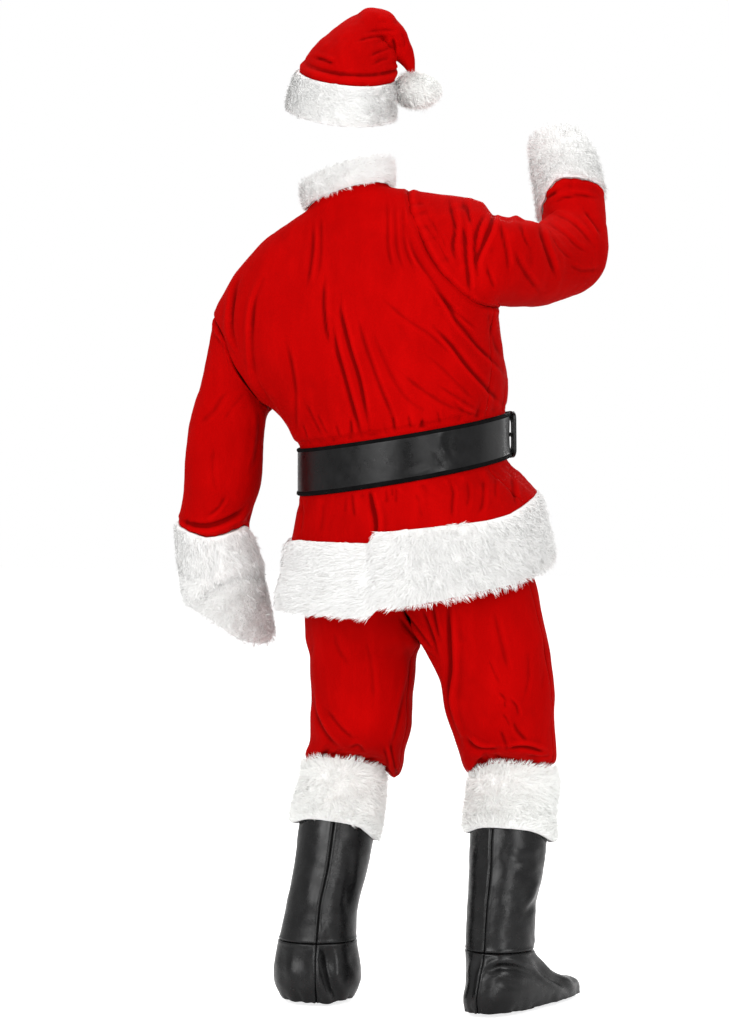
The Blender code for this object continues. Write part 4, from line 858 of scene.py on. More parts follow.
def off_line(points, line):
    """Distance of points from a closed line of points."""
    best = np.full(points.shape[:-1], 1e9)
    for start, stop in zip(line, np.roll(line, -1, axis=0)):
        way = stop - start
        along = np.clip((points - start) @ way / way.dot(way), 0.0, 1.0)
        best = np.minimum(best, np.linalg.norm(points - start - along[..., None] * way, axis=-1))
    return best


# ---------------------------------------------------------------- materials
def new_material(name, roughness, specular, **sockets):
    """A Principled material; returns it with its nodes and a function that links sources to its sockets."""
    made = bpy.data.materials.new(name)
    made.use_nodes = True
    tree = made.node_tree
    shader = tree.nodes["Principled BSDF"]
    shader.inputs["Roughness"].default_value = roughness
    shader.inputs["Specular IOR Level"].default_value = specular
    for socket, value in sockets.items():
        shader.inputs[socket.replace("_", " ")].default_value = value

    def wire(**sources):
        for socket, source in sources.items():
            tree.links.new(source, shader.inputs[socket.replace("_", " ")])

    return made, tree, wire


def node(tree, kind, settings=(), links=()):
    """A node with its socket values and incoming links."""
    made = tree.nodes.new(kind)
    for key, value in settings:
        if isinstance(key, str) and hasattr(made, key) and key not in made.inputs:
            setattr(made, key, value)
        else:
            made.inputs[key].default_value = value
    for key, source in links:
        tree.links.new(source, made.inputs[key])
    return made


def place_in(tree):
    """Places in the piece's own space."""
    return node(tree, "ShaderNodeTexCoord").outputs["Object"]


def mark_of(tree, name):
    """A mark that a mesh carries on its points."""
    return node(tree, "ShaderNodeAttribute", [("attribute_name", name)]).outputs["Fac"]


def noise(tree, place, scale, detail=3.0, rough=0.55, stretch=(1, 1, 1)):
    """Cloudy noise from 0 to 1."""
    mapped = node(tree, "ShaderNodeMapping", [("Scale", stretch)], [("Vector", place)])
    return node(tree, "ShaderNodeTexNoise", [("Scale", scale), ("Detail", detail), ("Roughness", rough)],
                [("Vector", mapped.outputs[0])]).outputs["Fac"]


def span(tree, source, low, high, to_low=0.0, to_high=1.0):
    """A value taken from one range to another."""
    ranges = [("From Min", low), ("From Max", high), ("To Min", to_low), ("To Max", to_high)]
    return node(tree, "ShaderNodeMapRange", ranges, [("Value", source)]).outputs[0]


def layered(tree, colour, *layers):
    """A colour with others laid over it.

    A layer is its source, the range of the source that it comes in over, its shares at both ends
    of that range and its own colour.
    """
    for source, low, high, first_share, last_share, over in layers:
        made = node(tree, "ShaderNodeMix", [("data_type", "RGBA")],
                    [(0, span(tree, source, low, high, first_share, last_share))])
        for key, part in ((6, colour), (7, over)):
            if isinstance(part, tuple):
                made.inputs[key].default_value = (*part, 1.0)
            else:
                tree.links.new(part, made.inputs[key])
        colour = made.outputs[2]
    return colour


def bumps(tree, *reliefs):
    """A normal with reliefs on it, each a source, its strength and its distance."""
    normal = []
    for height, strength, distance in reliefs:
        normal = [("Normal", node(tree, "ShaderNodeBump", [("Strength", strength), ("Distance", distance)],
                                  [("Height", height), *normal]).outputs[0])]
    return normal[0][1]


def tinted(colour, share):
    """A colour at a share of its strength."""
    return tuple(share * part for part in colour)


def velour(name, base, deep, light, sheen):
    """Stretch velour: crushed nap in soft patches, painted shade in the troughs and painted highlight on the
    ridges, with a low tinted sheen.
    """
    made, tree, wire = new_material(name, 0.80, 0.02, Sheen_Weight=sheen, Sheen_Roughness=0.42,
                                    Sheen_Tint=(1.0, 0.02, 0.01, 1.0))
    place, lift = place_in(tree), mark_of(tree, "lift")
    patches = noise(tree, place, 9.0, 4.0, 0.6)
    strokes = noise(tree, place, 26.0, 4.0, 0.65, (1.0, 1.0, 0.28))
    grain = noise(tree, place, 900.0, 2.0, 0.6)
    speckle = noise(tree, place, 260.0, 3.0, 0.7)
    wire(Base_Color=layered(tree, deep,
                            (patches, 0.34, 0.66, 0.0, 1.0, base),
                            (strokes, 0.45, 0.75, 0.0, 0.55, light),
                            (speckle, 0.30, 0.70, 0.16, 0.0, deep),
                            # painted shade in the folds' troughs and painted highlight on their ridges, from
                            # the mark lift
                            (lift, -0.0002, -0.0022, 0.0, 0.72, tinted(deep, 0.30)),
                            (lift, 0.0003, 0.0016, 0.0, 0.55, light)),
         Normal=bumps(tree, (grain, 0.35, 0.0004), (strokes, 0.25, 0.0018)))
    return made


def plush(name, bright, shade, backing):
    """White long pile: each lock has its own brightness, with painted shade towards its root."""
    made, tree, wire = new_material(name, 0.85, 0.12, Sheen_Weight=0.25, Sheen_Roughness=0.5)
    place, lock = place_in(tree), mark_of(tree, "shade")
    clouds = noise(tree, place, 16.0, 3.0, 0.6)
    strands = noise(tree, place, 420.0, 3.0, 0.7)
    wire(Base_Color=layered(tree, bright,
                            (clouds, 0.35, 0.68, 0.0, 0.50, shade),
                            # painted shade from the mark shade: darker at the hairs' roots, and down to the
                            # backing's tone where it is deepest
                            (lock, 0.0, 1.0, 0.0, 0.60, shade),
                            (lock, 0.9, 2.0, 0.0, 0.95, backing),
                            (strands, 0.35, 0.70, 0.0, 0.30, backing)),
         Normal=bumps(tree, (strands, 0.5, 0.0012)))
    return made


def leather(name, base, light, rough, grain_scale, specular):
    """Black leatherette: fine pebble grain, scuffs, painted highlight on raised ridges, and gloss that comes
    and goes.
    """
    made, tree, wire = new_material(name, rough, specular)
    place, lift = place_in(tree), mark_of(tree, "lift")
    cells = node(tree, "ShaderNodeTexVoronoi", [("Scale", grain_scale)], [("Vector", place)])
    clouds = noise(tree, place, 34.0, 4.0, 0.6)
    scuffs = noise(tree, place, 120.0, 5.0, 0.75, (1.0, 1.0, 0.35))
    wire(Base_Color=layered(tree, base,
                            (clouds, 0.35, 0.70, 0.0, 1.0, light),
                            # painted highlight on the folds' ridges, from the mark lift
                            (lift, 0.0006, 0.0030, 0.0, 0.5, tinted(light, 2.2)),
                            (scuffs, 0.62, 0.80, 0.0, 0.5, tinted(light, 2.6))),
         Roughness=span(tree, clouds, 0.3, 0.7, rough - 0.05, rough + 0.08),
         Normal=bumps(tree, (cells.outputs["Distance"], 0.22, 0.0004), (clouds, 0.25, 0.0020)))
    return made


def webbing(name, base, light):
    """Matt black woven tape."""
    made, tree, wire = new_material(name, 0.86, 0.08)
    place = place_in(tree)
    threads = node(tree, "ShaderNodeTexWave", [("Scale", 330.0), ("Distortion", 1.5), ("Detail", 1.0)],
                   [("Vector", place)]).outputs["Fac"]
    dust = noise(tree, place, 45.0, 4.0, 0.6)
    wire(Base_Color=layered(tree, base, (dust, 0.4, 0.7, 0.0, 1.0, light)),
         Normal=bumps(tree, (threads, 0.5, 0.0005)))
    return made


RED = velour("velour_face", (0.378, 0.0003, 0.0003), (0.335, 0.0002, 0.0002), (0.472, 0.0009, 0.0008), 0.14)
RED_BACK = velour("velour_reverse", (0.350, 0.004, 0.004), (0.290, 0.003, 0.003), (0.400, 0.009, 0.008),
                  0.028)
WHITE = plush("plush_pile", (0.905, 0.905, 0.897), (0.835, 0.831, 0.821), (0.790, 0.786, 0.775))
# a brighter, cooler copy of the white plush: painted light that makes up for the shade on the pompom and the
# red light bounced onto the boot fur
PAINTED_BRIGHT_WHITE = plush("plush_painted_bright", (0.960, 0.968, 0.948), (0.905, 0.910, 0.890), (0.870, 0.872, 0.855))
WHITE_BACK = plush("plush_backing", (0.900, 0.895, 0.885), (0.820, 0.815, 0.800), (0.740, 0.735, 0.725))
SKIN = leather("leatherette_face", (0.0030, 0.0030, 0.0032), (0.0070, 0.0070, 0.0073), 0.25, 900.0, 0.32)
BELT_SKIN = leather("leatherette_belt", (0.0028, 0.0028, 0.0030), (0.0062, 0.0062, 0.0065), 0.29, 900.0, 0.23)
SKIN_BACK = webbing("leatherette_reverse", (0.020, 0.020, 0.021), (0.035, 0.035, 0.036))
TAPE = webbing("binding_tape", (0.0012, 0.0012, 0.0014), (0.0036, 0.0036, 0.0038))
MOULDED = leather("moulded_black", (0.0035, 0.0035, 0.0037), (0.0055, 0.0055, 0.0058), 0.30, 1600.0, 0.26)
VELOUR = [RED, RED_BACK]              # face and reverse


# ---------------------------------------------------------------- the torso's form
TORSO_HALF = 0.185                    # about half the width of a torso ring
TORSO_ARC = 0.0031                    # metres to a degree round the torso
NECK_RING = 0.012                     # metres from ring to ring under the neck
UNDER_SLEEVE = 0.985                  # the panels' armholes, so that they run on under the sleeves
PUSHED = (1.9, 0.1)                   # reach of an armhole's push on the columns: its share, degrees more
PANELS = {   # name: its two edges' angles and armholes, whether it is in front, spacing of points
    "jacket_back": ((180.0, LEFT_HOLE), (360.0, RIGHT_HOLE), False, 0.0027),
    "jacket_front_right": ((0.0, RIGHT_HOLE), (90.0, None), True, 0.0036),
    "jacket_front_left": ((90.0, None), (180.0, LEFT_HOLE), True, 0.0042),
}
HOLE_STEPS, HOLE_ENDS = 28, 9         # rows that follow an armhole's curve, and how many at each end
CLOSEST_ROWS = 0.012                  # rows nearer than this share of a ring are left out
CLOSURE = 90.0                        # angle of the fronts' shared edge
PRESSED = 0.0004                      # how far the belt presses the cloth in
BELT_FADE, BELT_SOFT = 0.2, 0.3       # shares of a ring over which the belt's press fades
HEM_BEHIND, HEM_FADE = 0.06, 0.08     # HEM_DROP holds behind this y, and fades out over this depth


def squared(value):
    """A cosine or sine, drawn out towards a ring's corners."""
    return np.sign(value) * np.abs(value) ** (2.0 / SECTION_POWER)


def section(row, degrees):
    """Points of one torso ring at angles round it: 0 is the right side and 90 the front."""
    left_x, left_z, right_x, right_z, y, back, front, rise, yaw = row

    def plan(degrees):
        deep = squared(np.sin(np.radians(degrees)))
        across = squared(np.cos(np.radians(degrees)))
        return turned(across, deep * np.where(deep > 0, front, back), yaw)

    fit_x, fit_y = plan(full_turn(180))
    size = (right_x - left_x) / (fit_x.max() - fit_x.min())
    low_y, high_y = fit_y[fit_x.argmin()] * size, fit_y[fit_x.argmax()] * size
    slope = (right_z - left_z - rise * (high_y - low_y)) / (right_x - left_x)
    x, local_y = plan(degrees)
    x, local_y = (x - fit_x.min()) * size + left_x, local_y * size
    z = left_z + slope * (x - left_x) + rise * (local_y - low_y)
    return np.stack([x, y + local_y, z], axis=-1)


def body(degrees, place):
    """Points of the torso at angles round it, at a running ring number."""
    return section(blend(BODY_RINGS, place), degrees)


def body_normals(degrees, place):
    """Outward normals of the torso's form."""
    step, lift = 0.5, 0.03
    around = body(degrees + step, place) - body(degrees - step, place)
    up = body(degrees, min(place + lift, NECK_END)) - body(degrees, max(place - lift, 0.0))
    return unit(np.cross(around, up))


def body_grid(rows, degrees_of):
    """Points and normals of the torso for rows of angles."""
    grid = np.array([body(degrees_of(v), v) for v in rows])
    return grid, np.array([body_normals(degrees_of(v), v) for v in rows])


def panel_angles(first, second, front, columns):
    """A function from a ring number to a panel's angles."""
    even_angles = np.linspace(first[0], second[0], columns)

    def pushed(hole, place, off):
        cut = 0.0
        if hole:
            low, high, back_angle, front_angle = hole
            share = max(0.0, 1.0 - ((place - (low + high) / 2) / ((high - low) / 2)) ** 2)
            cut = UNDER_SLEEVE * (front_angle if front else back_angle) * math.sqrt(share)
        return cut * np.maximum(0.0, 1 - off / min(PUSHED[0] * cut + PUSHED[1], off.max()))

    def angles(place):
        return (even_angles + pushed(first[1], place, even_angles - even_angles[0])
                - pushed(second[1], place, even_angles[-1] - even_angles))
    return angles


def panel_rows(spacing):
    """Ring numbers of a panel's rows: even up the back, close at the armholes' ends, and odd in number."""
    places = np.linspace(0.0, NECK_END, 400)
    spine = np.array([body(np.array([270.0]), p)[0] for p in places])
    run = arc_along(spine, 0)
    rows = list(np.interp(np.linspace(0.0, run[-1], int(run[-1] / spacing)), run, places))
    for low, high, *_ in (LEFT_HOLE, RIGHT_HOLE):
        curve = [(low + high) / 2 - (high - low) / 2 * math.cos(math.pi * k / HOLE_STEPS)
                 for k in range(HOLE_STEPS + 1)]
        rows += curve[:HOLE_ENDS] + curve[-HOLE_ENDS:]
    rows = np.array(sorted(set(np.round(rows, 4))))
    rows = rows[np.concatenate([[True], np.diff(rows) > CLOSEST_ROWS])]
    return np.delete(rows, 3) if len(rows) % 2 == 0 else rows


def armhole_loop(hole, side, facets):
    """Points and normals round an armhole, from its top round the back."""
    low, high, back_angle, front_angle = hole
    turn_way = -1 if side == 360.0 else 1
    loop, out = [], []
    for k in range(facets):
        t = 2 * math.pi * k / facets
        place = (low + high) / 2 + (high - low) / 2 * math.cos(t)
        reach = back_angle if math.sin(t) > 0 else front_angle
        degrees = np.array([side + turn_way * reach * math.sin(t)])
        loop.append(body(degrees, place)[0])
        out.append(body_normals(degrees, place)[0])
    return np.array(loop), np.array(out)


def hem_drop(grid, edge):
    """How far the back hangs below its rings, at the hem fur's upper (1) or lower (2) edge."""
    across, _ = drawing(grid)
    table = np.array(HEM_DROP, float)
    behind = soft((HEM_BEHIND - grid[..., 1]) / HEM_FADE)
    return np.interp(across, table[:, 0], table[:, edge]) * behind / UNITS_PER_METRE


def hang_skirt(grid, places):
    """The skirt's lower edge hangs lower or higher than its ring, as HEM_DROP says."""
    moved = grid.copy()
    moved[..., 2] -= hem_drop(grid, 1) * soft(1 - places / BELT_UNDER)
    return moved


def build_jacket():
    """The back and both fronts, gathered at the belt and pressed flat under it."""
    loops = [armhole_loop(LEFT_HOLE, 180.0, 96)[0], armhole_loop(RIGHT_HOLE, 360.0, 96)[0]]
    for name, (first, second, front, spacing) in PANELS.items():
        rows = panel_rows(spacing)
        columns = odd(math.radians(second[0] - first[0]) * TORSO_HALF / spacing)
        angles = panel_angles(first, second, front, columns)
        grid, normals = body_grid(rows, angles)
        degrees = np.array([angles(v) for v in rows])
        places = np.repeat(rows[:, None], columns, axis=1)
        arc, turn = degrees * TORSO_ARC, 360.0 * TORSO_ARC
        over_belt = grid[..., 2] - np.array([body(row, BELT_TOP)[:, 2] for row in degrees])
        under_belt = np.array([body(row, BELT_UNDER)[:, 2] for row in degrees]) - grid[..., 2]
        height = creases(grid, normals, JACKET_BACK_FOLDS, JACKET_FRONT_FOLDS) + waves(grid, WAVES["jacket"])
        for gather, rise, past in (("above_belt", over_belt, places - BELT_TOP),
                                   ("under_belt", under_belt, BELT_UNDER - places)):
            height += puckers(arc, rise, turn, *GATHERS[gather]) * soft(past / BELT_FADE)
        pressed = (soft((places - BELT_UNDER + BELT_FADE) / BELT_SOFT)
                   * soft((BELT_TOP + BELT_FADE - places) / BELT_SOFT))
        height = height * (1 - pressed) - PRESSED * pressed
        for loop in loops:
            height += seam_relief(off_line(grid, loop), "armhole")
        for edge in (first[0], second[0]):
            if edge != CLOSURE:
                height += seam_relief(np.abs(degrees - edge) * TORSO_ARC, "side") * (1 - pressed)
        from_neck = np.maximum(NECK_END - places, 0.0) * NECK_RING
        height += seam_relief(from_neck, "neck") + puckers(arc, from_neck, turn, *GATHERS["neck"])
        piece = shell(f"{name}_cloth", hang_skirt(grid, places), normals, height, VELOUR)
        declare(name)


# ---------------------------------------------------------------- sleeves
RISE_BEHIND, RISE_FADE = 0.012, 0.035    # SEAM_RISES holds behind this distance from the seam's middle
RISE_REACH = 0.045                    # how far it reaches along the tube


def ellipse(row, first, second, facets):
    """A ring round a section's middle, from its first axis towards its second."""
    t = 2 * np.pi * np.arange(facets)[:, None] / facets
    return np.array(row[:3]) + row[3] * np.cos(t) * first + row[4] * np.sin(t) * second


def tube_rings(sections, first_up, first_middle, facets):
    """Rings round the path through the sections, each turned on from the one before."""
    path = np.vstack([first_middle, [row[:3] for row in sections]])
    up = first_up
    rings = []
    for k, row in enumerate(sections):
        ahead = path[min(k + 2, len(path) - 1)]
        axis = unit(np.array(row[5:])) if len(row) > 5 else unit(ahead - path[k])
        up = unit(up - axis * up.dot(axis))
        side = np.cross(axis, up)
        rings.append(ellipse(row, up, -side if side[1] > 0 else side, facets))
    return rings, up, axis


def resample(rows, count):
    """A smooth grid of `count` rows through key rows, spaced by the longest way between them."""
    rows = np.array(rows)
    ways = np.linalg.norm(np.diff(rows, axis=0), axis=-1).max(axis=1)
    run = np.concatenate([[0.0], np.cumsum(ways)])
    places = np.interp(np.linspace(0.0, run[-1], count), run, np.arange(len(rows)))
    return np.array([blend(rows, p) for p in places])


def tube_puckers(grid, name, at_end):
    """Puckers round one end of a tube."""
    turn = float(arc_along(grid, 1)[-1 if at_end else 0].max())
    run = arc_along(grid, 0)
    return puckers(even_arc(grid, turn), run[-1:] - run if at_end else run, turn, *GATHERS[name])


def raised(grid, word, at_end):
    """A tube's rows near a cuff's seam, moved up behind as SEAM_RISES says."""
    across, _ = drawing(grid)
    table = np.array(SEAM_RISES[word], float)
    seam = grid[-1] if at_end else grid[0]
    behind = soft((seam[:, 1].mean() + RISE_BEHIND - grid[..., 1]) / RISE_FADE)
    run = arc_along(grid, 0)
    away = run[-1:] - run if at_end else run
    moved = grid.copy()
    moved[..., 2] += np.interp(across, *table.T) / UNITS_PER_METRE * behind * bell(away, RISE_REACH)
    return moved


def build_sleeve(word, hole, side, sections, facets, spacing):
    """A sleeve from its armhole to its cuff; returns its last ring with that ring's up and axis."""
    loop, out = armhole_loop(hole, side, facets)
    rings, up, axis = tube_rings(sections, unit(loop[0] - loop[facets // 2]), loop.mean(axis=0), facets)
    keys = [loop + out * SLEEVE_OUT] + rings
    length = np.linalg.norm(np.diff(np.array(keys).mean(axis=1), axis=0), axis=1).sum()
    grid = raised(resample(keys, odd(length / spacing)), word, True)
    normals = flattened(outward_normals(grid), -1, axis)
    grid = grid + normals * drawn_folds(grid, normals, SLEEVE_SWELLS, None)[..., None]
    height = creases(grid, normals, SLEEVE_BACK_FOLDS, SLEEVE_FRONT_FOLDS) + waves(grid, WAVES["sleeve"])
    height += tube_puckers(grid, "cuff", True) + tube_puckers(grid, "armhole", False)
    run = arc_along(grid, 0)
    height += seam_relief(run, "sleeve_top") + seam_relief(run[-1:] - run, "sleeve_end")
    piece = shell(f"sleeve_{word}_cloth", grid, normals, height, VELOUR, ring=True)
    declare(f"sleeve_{word}")
    return rings[-1], up, axis


# ---------------------------------------------------------------- fur
ROUNDING = 0.45                       # less is squarer, for the section of a fur band
HEM_TOP_EDGE = 0.55                   # share of its thickness that the hem's upper edge keeps
HEM_SIDE, HEM_BLEND = 375.0, 70.0     # place across where the hem's comb turns, and over how many units
HAT_SIDE, HAT_BLEND = 350.0, 30.0     # and the hat's
CLOSURE_EDGE = 0.45                   # share of the closure fur's thickness at its edges
CLOSURE_FADE = 0.35                   # share of a ring over which the belt's press on it fades
UNDER_BELT_SHARE = 0.6                # its thickness under the belt, as a share of the space there
WIDEST = 60.0                         # and its half width at most, in degrees


def band_thickness(rows, columns, reach=CUFF_REACH, edge=0.5):
    """Thickness of a fur band: full in the middle, round at both edges, where a share is left."""
    swell = np.sin(np.pi * np.linspace(0.0, 1.0, rows)) ** ROUNDING
    return reach * (edge + (1 - edge) * swell)[:, None] * np.ones(columns)


def scattered(rng, grid, ring, count):
    """Places (row, column) spread evenly over a grid by its area."""
    wide = closed(grid) if ring else grid
    down, over = wide[1:, :-1] - wide[:-1, :-1], wide[:-1, 1:] - wide[:-1, :-1]
    area = np.linalg.norm(np.cross(down, over), axis=-1)
    total = np.cumsum(area.ravel())
    pick = (np.arange(count) + rng.random(count)) / count * total[-1]
    cell = np.minimum(np.searchsorted(total, pick), len(total) - 1)
    return cell // area.shape[1] + rng.random(count), cell % area.shape[1] + rng.random(count)


def on_grid(grid, row, column, ring):
    """Values of a grid at running places."""
    rows, columns = grid.shape[:2]
    i = np.clip(np.floor(row).astype(int), 0, rows - 2)
    f = np.clip(row - i, 0.0, 1.0)[:, None]
    if ring:
        j = np.floor(column).astype(int) % columns
        g = (column - np.floor(column))[:, None]
        after = (j + 1) % columns
    else:
        j = np.clip(np.floor(column).astype(int), 0, columns - 2)
        g = np.clip(column - j, 0.0, 1.0)[:, None]
        after = j + 1
    return ((grid[i, j] * (1 - g) + grid[i, after] * g) * (1 - f)
            + (grid[i + 1, j] * (1 - g) + grid[i + 1, after] * g) * f)


def pile(node_name, grid, normals, thick, ring, comb, look=WHITE):
    """Tapered hairs in locks, in white plush.

    From places and from shares down and round the piece, comb gives how far the hairs lie along,
    down and out, how unruly they are and how dark, painted shade included.
    """
    count, length, seed = PILES[node_name]
    rng = np.random.default_rng(seed)
    locks = count // LOCK
    rows, columns = grid.shape[:2]
    row, column = scattered(rng, grid, ring, locks)
    cell_down = np.linalg.norm(np.diff(grid, axis=0), axis=-1).mean()
    cell_over = np.linalg.norm(np.diff(grid, axis=1), axis=-1).mean()
    row = np.repeat(row, LOCK) + rng.normal(0, LOCK_SPREAD / cell_down, locks * LOCK)
    column = np.repeat(column, LOCK) + rng.normal(0, LOCK_SPREAD / cell_over, locks * LOCK)
    row = np.clip(row, 0.0, rows - 1.001)
    if not ring:
        column = np.clip(column, 0.0, columns - 1.001)
    point = on_grid(grid, row, column, ring)
    out = unit(on_grid(normals, row, column, ring))
    deep = on_grid(thick[..., None], row, column, ring)
    down = unit(on_grid(np.gradient(grid, axis=0), row, column, ring))
    over = unit(on_grid(across_steps(grid, ring), row, column, ring))
    combed = comb(point, row / (rows - 1), column / columns)
    along, fall, rise, unruly, tone_and_shade = (value + np.zeros(len(point)) for value in combed)

    def per_lock(spread):
        return np.repeat(rng.normal(0, spread, locks), LOCK)

    def per_hair(spread):
        return rng.normal(0, spread, len(point))

    along = along + (per_lock(LAY_SPREAD[0]) + per_hair(LAY_SPREAD[1])) * unruly
    fall = fall + (per_lock(LAY_SPREAD[0]) + per_hair(LAY_SPREAD[1])) * unruly
    rise = rise * np.exp(per_lock(RISE_SPREAD[0]) * unruly) + per_hair(RISE_SPREAD[1])
    lay = over * along[:, None] + down * fall[:, None]
    first = unit(lay * LAY_AT_ROOT + out * (rise + RISE_AT_ROOT)[:, None])
    second = unit(lay + out * (rise * RISE_AT_TIP)[:, None] + rng.normal(0, 0.10, point.shape))
    size = length * rng.uniform(*HAIR_LENGTHS, len(point)) * np.exp(per_lock(0.12))
    root = point + out * deep * ROOT
    middle = root + first * (size * BEND)[:, None]
    tip = middle + second * (size * (1 - BEND))[:, None]
    home = np.repeat(tip.reshape(locks, LOCK, 3).mean(axis=1), LOCK, axis=0)
    tip = tip + (home - tip) * (unruly * rng.uniform(*TIPS_TOGETHER, len(tip)))[:, None]
    flat = unit(np.cross(second, out) + rng.normal(0, 0.35, point.shape))
    broad = (HAIR_WIDTH * rng.uniform(*HAIR_WIDTHS, len(point)))[:, None] / 2
    parts = [root - flat * broad, middle - flat * broad * 0.8, tip, middle + flat * broad * 0.8]
    start = np.arange(len(point))[:, None] * 4
    faces = (start + np.array([0, 1, 3])).tolist() + (start + np.array([1, 2, 3])).tolist()
    # each lock's own tone plus any painted shade from the comb; the mark shade paints shade at the roots and
    # lightens the tips
    own = np.clip(tone_and_shade + per_lock(DULL_SPREAD[0]) + per_hair(DULL_SPREAD[1]), 0.0, 2.0)
    shade = np.clip(np.stack([own + 0.5, own, own * 0.5, own], axis=1).ravel(), 0, 2)
    hair = add_piece(f"{node_name}_pile", np.stack(parts, axis=1).reshape(-1, 3), faces, [look],
                     marks={"shade": shade}, solid=False)
    return hair


def fur_piece(node_name, grid, normals, thick, comb, ring=True, look=WHITE):
    """A fur piece: its plush backing as a thin shell, and its pile."""
    seed = PILES[node_name][-1]
    rough = waves(grid, [(*row, seed + k) for k, row in enumerate(BACKING_WAVES)])
    height = thick * BACKING_SHARE + rough * np.minimum(1, thick / UNEVEN_FROM)
    backing = shell(f"{node_name}_backing", grid, normals, height, [WHITE_BACK, WHITE_BACK], face=0.0,
                    wall=BACKING, ring=ring)
    hair = pile(node_name, grid, normals, thick, ring, comb, look)
    declare(node_name)


def comb_left_cuff(point, down, over):
    """Towards the cuff's end, and more and more round it."""
    lower = soft((down - 0.45) / 0.3)
    return 0.15 - 0.75 * lower, 0.75 - 0.35 * lower, 0.34 + 0.10 * lower, 0.6 + 0.4 * lower, DULL


def comb_right_cuff(point, down, over):
    """Towards the seam, and nearer the cuff's end towards that."""
    return 0.10, -0.55 + 1.15 * soft((down - 0.55) / 0.4), 0.36, 0.8, DULL


def comb_hem(point, down, over):
    """Along the band behind, and more tousled and further down on the right and in front; painted shade on
    the right.
    """
    across, _ = drawing(point)
    behind = point[:, 1] < 0.05
    right = soft((across - HEM_SIDE) / HEM_BLEND) * behind
    front = 1.0 * ~behind
    along = -0.95 * (1 - right) * (1 - front) + 0.45 * right + 0.35 * front
    fall = 0.22 + 0.55 * right + 0.45 * front + 0.30 * soft((down - 0.75) / 0.25)
    # the last value darkens the right side: painted shade
    return (along, fall, 0.26 + 0.20 * right + 0.12 * front, 0.45 + 0.75 * right + 0.4 * front,
            DULL + 0.95 * right)


def comb_closure(point, down, over):
    """Down, and outward from the middle."""
    return 0.30 * np.sign(over - 0.5), -0.85, 0.26, 0.8, DULL


def comb_collar(point, down, over):
    """Round the neck, and over both edges."""
    return 0.45, -0.35 + 0.9 * down, 0.36, 0.9, DULL


def comb_boot(point, down, over):
    """Up at both edges, down between them, and forward from the back."""
    fall = 0.35 - 0.75 * soft((down - 0.70) / 0.25) - 1.15 * soft((0.35 - down) / 0.3)
    return 0.60 * np.sin((over + 0.02) * 2 * math.pi), fall, 0.44, 0.85, DULL


def comb_hat(point, up, over):
    """Down, and round the head, one way on the left and the other on the right."""
    across, _ = drawing(point)
    right = soft((across - HAT_SIDE) / HAT_BLEND)
    fall = -0.25 - 0.30 * soft((up - 0.7) / 0.3)
    return -0.9 + 1.3 * right, fall, 0.30 + 0.14 * right, 0.6 + 0.3 * right, DULL


def comb_pompom(point, down, over):
    """Aslant, and very unruly."""
    return 0.55, 0.45, 0.45, 1.1, 0.0


def build_cuff(word, sleeve_end, sections, facets, rows, comb):
    """A fur cuff sewn on at a sleeve's last ring."""
    seam, up, axis = sleeve_end
    rings, _, last_axis = tube_rings(sections, up, seam.mean(axis=0), facets)
    grid = raised(resample([seam + axis * SEAM] + rings, rows), word, False)
    grid = shifted(grid, SHIFTS[f"cuff_{word}"])
    normals = outward_normals(grid)
    grid = grid + normals * drawn_folds(grid, normals, CUFF_FOLDS)[..., None]
    fur_piece(f"cuff_fur_{word}", grid, flattened(outward_normals(grid), -1, last_axis),
              band_thickness(rows, facets, edge=0.35), comb)


def build_hem_fur():
    """The band round the jacket's hem."""
    columns, rows = 260, 25
    top, lower = np.array(BODY_RINGS[0], float), np.array(HEM_LOWER, float)
    share = np.linspace(0.0, 1.0, rows)[:, None]
    grid = np.array([section(top + (lower - top) * s, full_turn(columns)) for s in share[:, 0]])
    grid[..., 2] -= hem_drop(grid, 1) * (1 - share) + hem_drop(grid, 2) * share
    grid = shifted(grid, SHIFTS["hem"])
    normals = outward_normals(grid)
    height = drawn_folds(grid, normals, HEM_FOLDS) + waves(grid, WAVES["hem"])
    thick = band_thickness(rows, columns, FUR_REACH)
    thick[0] *= HEM_TOP_EDGE
    fur_piece("hem_fur", grid + normals * height[..., None], normals, thick, comb_hem)


def build_front_fur():
    """Fur down the closure, pressed thin where the belt crosses it."""
    rows = np.linspace(0.0, NECK_END - 1.0, 151)
    share = np.linspace(-1.0, 1.0, 23)

    def angles(place):
        near = body(np.array([CLOSURE, CLOSURE + 1.0]), place)
        per_degree = np.linalg.norm(near[1] - near[0])
        return CLOSURE + share * min(FRONT_FUR_WIDTH / 2 / per_degree, WIDEST)

    grid, normals = body_grid(rows, angles)
    grid = hang_skirt(grid, rows[:, None]) + normals * (CLOTH / 2 + SEAM * 1.5)
    near_belt = np.minimum(np.abs(rows - BELT_UNDER), np.abs(rows - BELT_TOP))
    under = np.where((rows > BELT_UNDER) & (rows < BELT_TOP), 1.0, soft(1 - near_belt / CLOSURE_FADE))
    under = under[:, None]
    round_it = CLOSURE_EDGE + (1 - CLOSURE_EDGE) * np.sqrt(np.maximum(0.0, 1 - share ** 2))
    thick = round_it * (FRONT_FUR_REACH * (1 - under) + FUR_UNDER_BELT * UNDER_BELT_SHARE * under)
    fur_piece("front_fur", grid, normals, thick, comb_closure,
              ring=False)


def build_collar():
    """The band that stands up round the neck opening."""
    columns, rows = 150, 11
    neck = body(full_turn(columns), NECK_END)
    middle = neck.mean(axis=0)
    rise = np.array(COLLAR_LEAN)
    grid = np.array([middle + (neck - middle) * (1.0 + COLLAR_FLARE * s) + rise * (SEAM + s * COLLAR_HEIGHT)
                     for s in np.linspace(0.0, 1.0, rows)])
    fur_piece("collar_fur", grid, outward_normals(grid), band_thickness(rows, columns),
              comb_collar)


